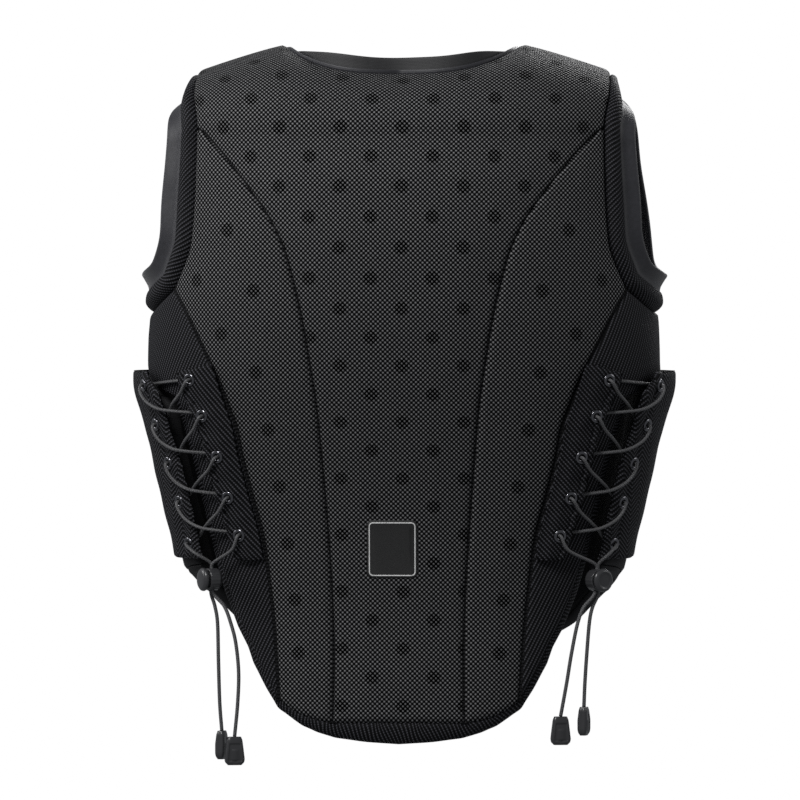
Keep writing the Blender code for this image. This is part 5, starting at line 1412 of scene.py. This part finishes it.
def flap(word, side):
    """The flap, folded at its free edge and flared at its top."""
    rows, columns = np.linspace(-LACING_BOTTOM, -LACING_TOP, 130), np.linspace(0, 1, 60) ** 1.2
    edge = edge_angles(rows, flap_edge, over_flap)
    edge += 0.20 * np.sin(rows * math.tau / 0.019) + 0.10 * np.sin(rows * math.tau / 0.0083 + 2)
    angle = edge[:, None] + columns * (FLAP_SEAM_ANGLE - edge)[:, None]
    height = np.broadcast_to(rows[:, None], angle.shape)
    from_edge = columns * 0.060
    hem_swell = 0.0012 * np.exp(-((from_edge - 0.0036) / 0.0028) ** 2)
    stitch = -0.0008 * np.exp(-((from_edge - 0.0090) / 0.0011) ** 2)
    wave = (0.0003 * np.sin(rows * math.tau / 0.034 + 0.8)[:, None]
            * np.exp(-((columns - 0.45) / 0.35) ** 2))
    ends = np.minimum(rows - rows[0], rows[-1] - rows)[:, None]
    thin = (-rounded(from_edge + 0 * height, 0.0028, FLAP_WALL * 0.9)
            - rounded(ends + 0 * height, 0.0028, FLAP_WALL * 0.6))
    cloth_sheet("flap_" + word, angle, height, flap_lift(angle, height), FLAP_WALL, "flap",
                ["lacing_flap_" + word], side,
                hem_swell + stitch + wave + thin)


for word, side in SIDES:
    tab(word, side)
    flap(word, side)
print("tab and flap wall mm:", TAB_WALL * 1000, FLAP_WALL * 1000)

# %% [markdown]
# An eyelet is a turned ring with a rolled lip: r(t) = middle + a cos t, h(t) = a sin t flattened.
# A dark disc inside it is painted shade: it stands for the shaded hole that the lace fills. The lace
# is one smooth tube through points over and under the cloth, because it is held at both ends.

# %% Eyelets and the lace
def turned(profile, centre, axis, across, sides=48):
    """Circles through a profile of radius and height, turned about an axis."""
    other = np.cross(axis, across)
    rings = []
    for r, h in profile:
        turns = np.arange(sides) * math.tau / sides
        spoke = np.cos(turns)[:, None] * across + np.sin(turns)[:, None] * other
        rings.append(centre + axis * h + r * spoke)
    return np.array(rings)


def eyelet(word, side, row, number):
    """One metal ring on the cloth, with a disc of painted shade in its bore."""
    centre, normal, across, _ = seat_frame(row, *SEATS[row][number - 1], 0.0001)
    middle, half = (EYELET_OUTER + EYELET_BORE) / 2, (EYELET_OUTER - EYELET_BORE) / 2
    turns = np.linspace(0, math.tau, 20, endpoint=False)
    profile = [(middle + half * math.cos(t), 0.0011 * math.sin(t) + 0.0003) for t in turns]
    rings = turned(profile, centre, normal, across)
    node = f"eyelet_{word}_{row}_{number}"
    piece("ring_" + node, rings, hoop(rings, True), no_map(rings), "eyelet", [node],
          side=side)
    # Painted shade: a near-black disc under the ring stands for the shade inside the bore.
    disc = turned([(EYELET_BORE * 1.15, -0.0004), (EYELET_BORE * 1.15, -0.0001)],
                  centre, normal, across, 16)
    piece("bore_" + node, disc, hoop(disc, False), no_map(disc), "dark", side=side)
print("eyelet bore:", EYELET_BORE * 2, "m")


# %% Strands of the lace
def strand(route, start, end, lift):
    """Points of one strand from the top of an eyelet to the underside of the next."""
    found = []
    for across, down, height in route:
        angle, z = (start[k] + (end[k] - start[k]) * share for k, share in ((0, across), (1, down)))
        top = float(lift(*start)) + 0.0034
        found.append(lifted(angle, z, 0.0023 + (top - 0.0023) * height))
    return found


def lace_points(word, side):
    """The whole lace: up from the cord lock, through all eyelets to the top, across and back."""
    centre, _, across = toggle_place(word)
    half = np.array([abs(across[0]), across[1], 0]) * 0.0018

    def run(rows):
        points = []
        for k, row in enumerate(rows):
            seat = SEATS[row][k]
            top = seat_frame(row, *seat, 0.0028)[0]
            low = seat_frame(row, *seat, -0.0022 - (TAB_WALL if row == "inner" else FLAP_WALL))[0]
            points += [low, top]
            if k < 4:
                lift = over_tab if row == "inner" else over_flap
                route = INNER_STRAND if row == "inner" else OUTER_STRAND
                points += strand(route, seat, SEATS[rows[k + 1]][k + 1], lift)
        return points

    down_one = run(["inner", "outer", "inner", "outer", "inner"])
    down_two = run(["outer", "inner", "outer", "inner", "outer"])
    top_inner, top_outer = (np.array(SEATS[row][0]) for row in ("inner", "outer"))
    bar = []
    for share in (0.18, 0.40, 0.62, 0.84):
        angle, z = top_inner + (top_outer - top_inner) * share
        bar.append(lifted(angle, z, 0.0026 + 0.0008 * math.sin(share * math.pi)))

    def to_lock(row, offset, shares):
        start = seat_frame(row, *SEATS[row][4], 0.0040)[0]
        end = centre * [side, 1, 1] + offset
        top = end + [0, 0, TOGGLE_RADIUS + 0.004]
        return [start + (top - start) * shares, top,
                end + [0, 0, TOGGLE_RADIUS * 0.6], end + [0, 0, 0.0003]]

    inner_end = to_lock("inner", -half, [0.22, 0.22, 0.50])
    outer_end = to_lock("outer", half, [0.42, 1.05, 0.42])
    return inner_end[::-1] + down_one[::-1] + bar + down_two + outer_end


TOGGLE_RADIUS, TOGGLE_DOWN, TOGGLE_LIFT = 0.0090, 0.4203, 0.0150
TOGGLE_X = {"left": 0.1535, "right": 0.1605}
TOGGLE_TURN = {"left": 62.0, "right": 42.0}


def toggle_place(word):
    """Centre of the cords' crossing in a cord lock, its axis out of the body and the way across."""
    side = 1 if word == "right" else -1
    angle = angle_seen(sum(TOGGLE_X.values()) / 2, -TOGGLE_DOWN, TOGGLE_LIFT)
    centre = lifted(angle, -TOGGLE_DOWN, TOGGLE_LIFT)
    centre[0] = TOGGLE_X[word] * side
    turn = math.radians(TOGGLE_TURN[word])
    axis = np.array([side * math.sin(turn), -math.cos(turn), 0])
    across = np.array([-axis[1], axis[0], 0])
    return centre, axis, across * (1 if across[0] * side > 0 else -1)
print("cord lock at x", TOGGLE_X, "and z", -TOGGLE_DOWN)

# %% Put in the eyelets and laces
LACE_DIAMETER = 0.0026
for word, side in SIDES:
    for row in ("inner", "outer"):
        for number in range(1, 6):
            eyelet(word, side, row, number)
    lace = through_points(np.array(lace_points(word, side)) * [side, 1, 1], 0.0011)
    cord_tube("lacing_" + word, lace, ["lace_" + word], LACE_DIAMETER)
    print(word, "lace m:", round(float(np.linalg.norm(np.diff(lace, axis=0), axis=1).sum()), 3))
# %% [markdown]
# A cord lock is a cup and a button whose stem slides in it. Both are turned solids: the profile's
# corners are rounded, and the cup has a fine grip of upright ribs. The button moves with its own
# body, so it is a piece of its own.

# %% Cord locks
TOGGLE_WALL, TOGGLE_FLOOR, TOGGLE_STEM_DEPTH, TOGGLE_TRAVEL = 0.0022, 0.0014, 0.0070, 0.0020
TOGGLE_HEAD_RADIUS, TOGGLE_HEAD_HEIGHT, TOGGLE_CLEARANCE = 0.0095, 0.0042, 0.0004
STEM_END = -(CORD_DIAMETER / 2 + TOGGLE_CLEARANCE + 0.0008)
CUP_RIM = STEM_END + TOGGLE_STEM_DEPTH
CUP_FLOOR = STEM_END - TOGGLE_TRAVEL - TOGGLE_CLEARANCE


def smooth_profile(corners, radius, steps=6):
    """A profile whose corners are cut back by a radius and joined by parabolas."""
    corners = np.asarray(corners, float)
    found = [corners[0]]
    for a, b, c in zip(corners, corners[1:], corners[2:]):
        before, after = a - b, c - b
        reach = min(radius, np.linalg.norm(before) * 0.45, np.linalg.norm(after) * 0.45)
        start, end = b + unit(before) * reach, b + unit(after) * reach
        for t in np.linspace(0, 1, steps):
            found.append((1 - t) ** 2 * start + 2 * t * (1 - t) * b + t**2 * end)
    return np.array(found + [corners[-1]])


def cord_lock(word):
    """Cup and button of one cord lock, along the lock's axis."""
    centre, axis, across = toggle_place(word)
    small = 0.00005
    cup = smooth_profile([
        (small, CUP_FLOOR - TOGGLE_FLOOR), (TOGGLE_RADIUS - 0.0022, CUP_FLOOR - TOGGLE_FLOOR),
        (TOGGLE_RADIUS, CUP_FLOOR - TOGGLE_FLOOR + 0.0024), (TOGGLE_RADIUS, CUP_RIM),
        (TOGGLE_RADIUS - TOGGLE_WALL, CUP_RIM), (TOGGLE_RADIUS - TOGGLE_WALL, CUP_FLOOR),
        (small, CUP_FLOOR),
    ], 0.0009)
    rings = turned(cup, centre, axis, across, 72)
    turns = np.arange(72) * math.tau / 72
    outside = smoothstep((cup[:, 0] - TOGGLE_RADIUS + 0.0006) / 0.0004)
    grip = np.cos(turns * 18)[None, :, None] * outside[:, None, None]
    grip = grip * smoothstep((cup[:, 1] - CUP_FLOOR) / 0.001)[:, None, None]
    out = unit(rings - (centre + axis * cup[:, 1:2])[:, None, :] + 1e-9)
    rings = rings + out * grip * 0.00018
    piece("lock_cup_" + word, rings, hoop(rings, False), no_map(rings), "plastic",
          ["toggle_barrel_" + word])
    head = CUP_RIM + TOGGLE_TRAVEL + 0.0002
    stem = TOGGLE_RADIUS - TOGGLE_WALL - TOGGLE_CLEARANCE
    top = head + TOGGLE_HEAD_HEIGHT
    corners = [(small, STEM_END), (stem, STEM_END), (stem, head), (TOGGLE_HEAD_RADIUS, head),
               (TOGGLE_HEAD_RADIUS, head + TOGGLE_HEAD_HEIGHT * 0.55),
               (TOGGLE_HEAD_RADIUS - 0.0020, top - 0.0003)]
    if word == "right":
        corners += [(TOGGLE_HEAD_RADIUS - 0.0030, top - 0.0004),
                    (TOGGLE_HEAD_RADIUS - 0.0038, top - 0.0012),
                    (small, top - 0.0010)]
    else:
        corners += [(TOGGLE_HEAD_RADIUS * 0.45, top + 0.0002), (small, top + 0.0003)]
    rings = turned(smooth_profile(corners, 0.0009), centre, axis, across, 72)
    piece("lock_button_" + word, rings, hoop(rings, False), no_map(rings), "plastic",
          ["toggle_button_" + word], word + "_button")


for word, side in SIDES:
    cord_lock(word)
print("cord lock radius mm:", TOGGLE_HEAD_RADIUS * 1000)

# %% [markdown]
# The closed zip runs down the centre front: a tape in a shallow groove, small teeth that
# alternate left and right, and on top a slider and its pull. Each of these is a rounded block,
# |x/a|^n + |y/b|^n = 1 round its length, drawn in at both ends. One formula serves for tooth,
# slider and pull, and all teeth go into one piece because there are hundreds of them.

# %% The zip
TOOTH_PITCH, ZIP_DROP, TOOTH_SIZE = 0.0023, 0.022, (0.0019, 0.0009, 0.00080)


def rounded_block(centre, frame, size, power=5.0, sides=24, rows=9, waist=0.0):
    """Rings of a rounded block: half sizes size, axes the rows of frame, length along the last."""
    turns = np.arange(sides) * math.tau / sides
    x = np.sign(np.cos(turns)) * np.abs(np.cos(turns)) ** (2 / power)
    y = np.sign(np.sin(turns)) * np.abs(np.sin(turns)) ** (2 / power)
    rings = []
    for t in np.sin(np.linspace(-math.pi / 2, math.pi / 2, rows)):
        draw = (1 - abs(t) ** power) ** (1 / power) if abs(t) < 1 else 0.05
        slim = 1 - waist * (1 - t * t)
        rings.append(centre + frame[0] * (size[0] * x * max(draw, 0.05) * slim)[:, None]
                     + frame[1] * (size[1] * y * max(draw, 0.05))[:, None] + frame[2] * size[2] * t)
    return np.array(rings)


def joined(shapes):
    """Points and faces of several separate closed shapes as one."""
    points, faces, first = [], [], 0
    for rings in shapes:
        points.append(rings.reshape(-1, 3))
        faces.append(hoop(rings, False) + first)
        first += rings.size // 3
    return np.concatenate(points), np.concatenate(faces)
print("tooth half sizes:", TOOTH_SIZE)

# %% Zip tape and teeth
zip_top = float(neck_front_height(180.0)) - 0.001
zip_heights = np.linspace(-FRONT_LENGTH, zip_top, 9)
zip_middle = lifted(np.full(9, 180.0), zip_heights, np.full(9, -0.003))
chain = through_points(zip_middle, TOOTH_PITCH)
along = unit(np.gradient(chain, axis=0))
outward = np.cross(along, [1.0, 0, 0])
outward *= np.sign(outward[:, 1])[:, None]
side_way = np.array([1.0, 0, 0])
half, wall = side_way * 0.003, outward * 0.003
tape = np.stack([chain - half - wall * 0.3, chain + half - wall * 0.3,
                 chain + half - wall, chain - half - wall], axis=1)
made = piece("zip_tape", tape, hoop(tape, False), ring_map(tape), "front", ["zip_chain"])
teeth = []
for number, (point, up, out) in enumerate(zip(chain[1:-1], along[1:-1], outward[1:-1])):
    shift = side_way * 0.0006 * (1 if number % 2 else -1)
    teeth.append(rounded_block(point + shift - out * 0.0008, (side_way, out, up), TOOTH_SIZE, 4, 12, 5))
points, faces = joined(teeth)
piece("zip_teeth", points, faces, no_map(points), "plastic", ["zip_chain"])
print("zip teeth:", len(teeth))


# %% Slider and pull
def on_zip(height, rise):
    """A place on the zip's outer face at a height, and the directions there."""
    near = int(np.argmin(np.abs(chain[:, 2] - height)))
    share = (height - chain[near, 2]) / along[near, 2]
    place = chain[near] + along[near] * share + outward[near] * rise
    return place, (side_way, outward[near], along[near])


slider_height = float(skin(180.0, neck_front_height(180.0))[2]) - ZIP_DROP
place, frame_at = on_zip(slider_height, 0.0026)
body = rounded_block(place, frame_at, (0.0026, 0.0025, 0.0070), 5, 32, 13, 0.12)
bail = rounded_block(place + frame_at[1] * 0.0018, frame_at, (0.0009, 0.0014, 0.0040), 4, 20, 9)
points, faces = joined([body, bail])
piece("zip_slide", points, faces, no_map(points), "metal", ["zip_slider"])
place, frame_at = on_zip(slider_height - 0.0203, 0.0012)
plate = rounded_block(place, frame_at, (0.0026, 0.0008, 0.0130), 6, 32, 25, 0.22)
grip = rounded_block(place - frame_at[2] * 0.0055 + frame_at[1] * 0.0006, frame_at,
                     (0.0017, 0.0006, 0.0050), 4, 24, 9)
points, faces = joined([plate, grip])
piece("zip_tab", points, faces, no_map(points), "metal", ["zip_pull"])
print("slider at z", round(slider_height, 4))

# %% [markdown]
# The light is a white studio: the backdrop is plain white to the camera and the room gives a low
# even light. The key, a large soft lamp, stands above the camera's left, a second fills the
# front of the vest, and two weak ones draw its sides. Black cloth needs a low room light, or its
# weave would turn grey and flat.

# %% The room
ROOM_LIGHT = 0.26

world = bpy.data.worlds.new("studio")
world.use_nodes = True
bpy.context.scene.world = world
tree = world.node_tree
seen = tree.nodes.new("ShaderNodeLightPath")
mix = tree.nodes.new("ShaderNodeMixShader")
backdrop = tree.nodes.new("ShaderNodeBackground")
room = tree.nodes["Background"]
room.inputs["Color"].default_value = (0.93, 0.96, 1.0, 1)
room.inputs["Strength"].default_value = ROOM_LIGHT
backdrop.inputs["Color"].default_value = (1, 1, 1, 1)
backdrop.inputs["Strength"].default_value = 1.0
tree.links.new(seen.outputs["Is Camera Ray"], mix.inputs[0])
tree.links.new(room.outputs[0], mix.inputs[1])
tree.links.new(backdrop.outputs[0], mix.inputs[2])
tree.links.new(mix.outputs[0], tree.nodes["World Output"].inputs["Surface"])
print("room light:", ROOM_LIGHT)


# %% Lamps and picture settings
def lamp(name, place, target, size, power):
    """A square soft lamp aimed at a point."""
    light = bpy.data.lights.new(name, "AREA")
    light.shape = "SQUARE"
    light.size = size
    light.energy = power
    made = bpy.data.objects.new(name, light)
    made.location = place
    made.rotation_euler = (Vector(target) - Vector(place)).to_track_quat("-Z", "Y").to_euler()
    bpy.context.scene.collection.objects.link(made)
    return made


lamp("key", (-0.95, -1.60, 1.25), (-0.02, -0.1, -0.12), 0.7, 47)
lamp("front_fill", (0.7, 1.9, 1.1), (0.0, 0.1, -0.2), 1.0, 34)
lamp("rim_left", (-1.5, 0.1, 0.3), (-0.2, 0, -0.25), 0.7, 7)
lamp("rim_right", (1.5, 0.1, 0.3), (0.2, 0, -0.25), 0.7, 4)

scene = bpy.context.scene
scene.view_settings.view_transform = "Standard"
scene.view_settings.look = "None"
scene.cycles.use_denoising = False
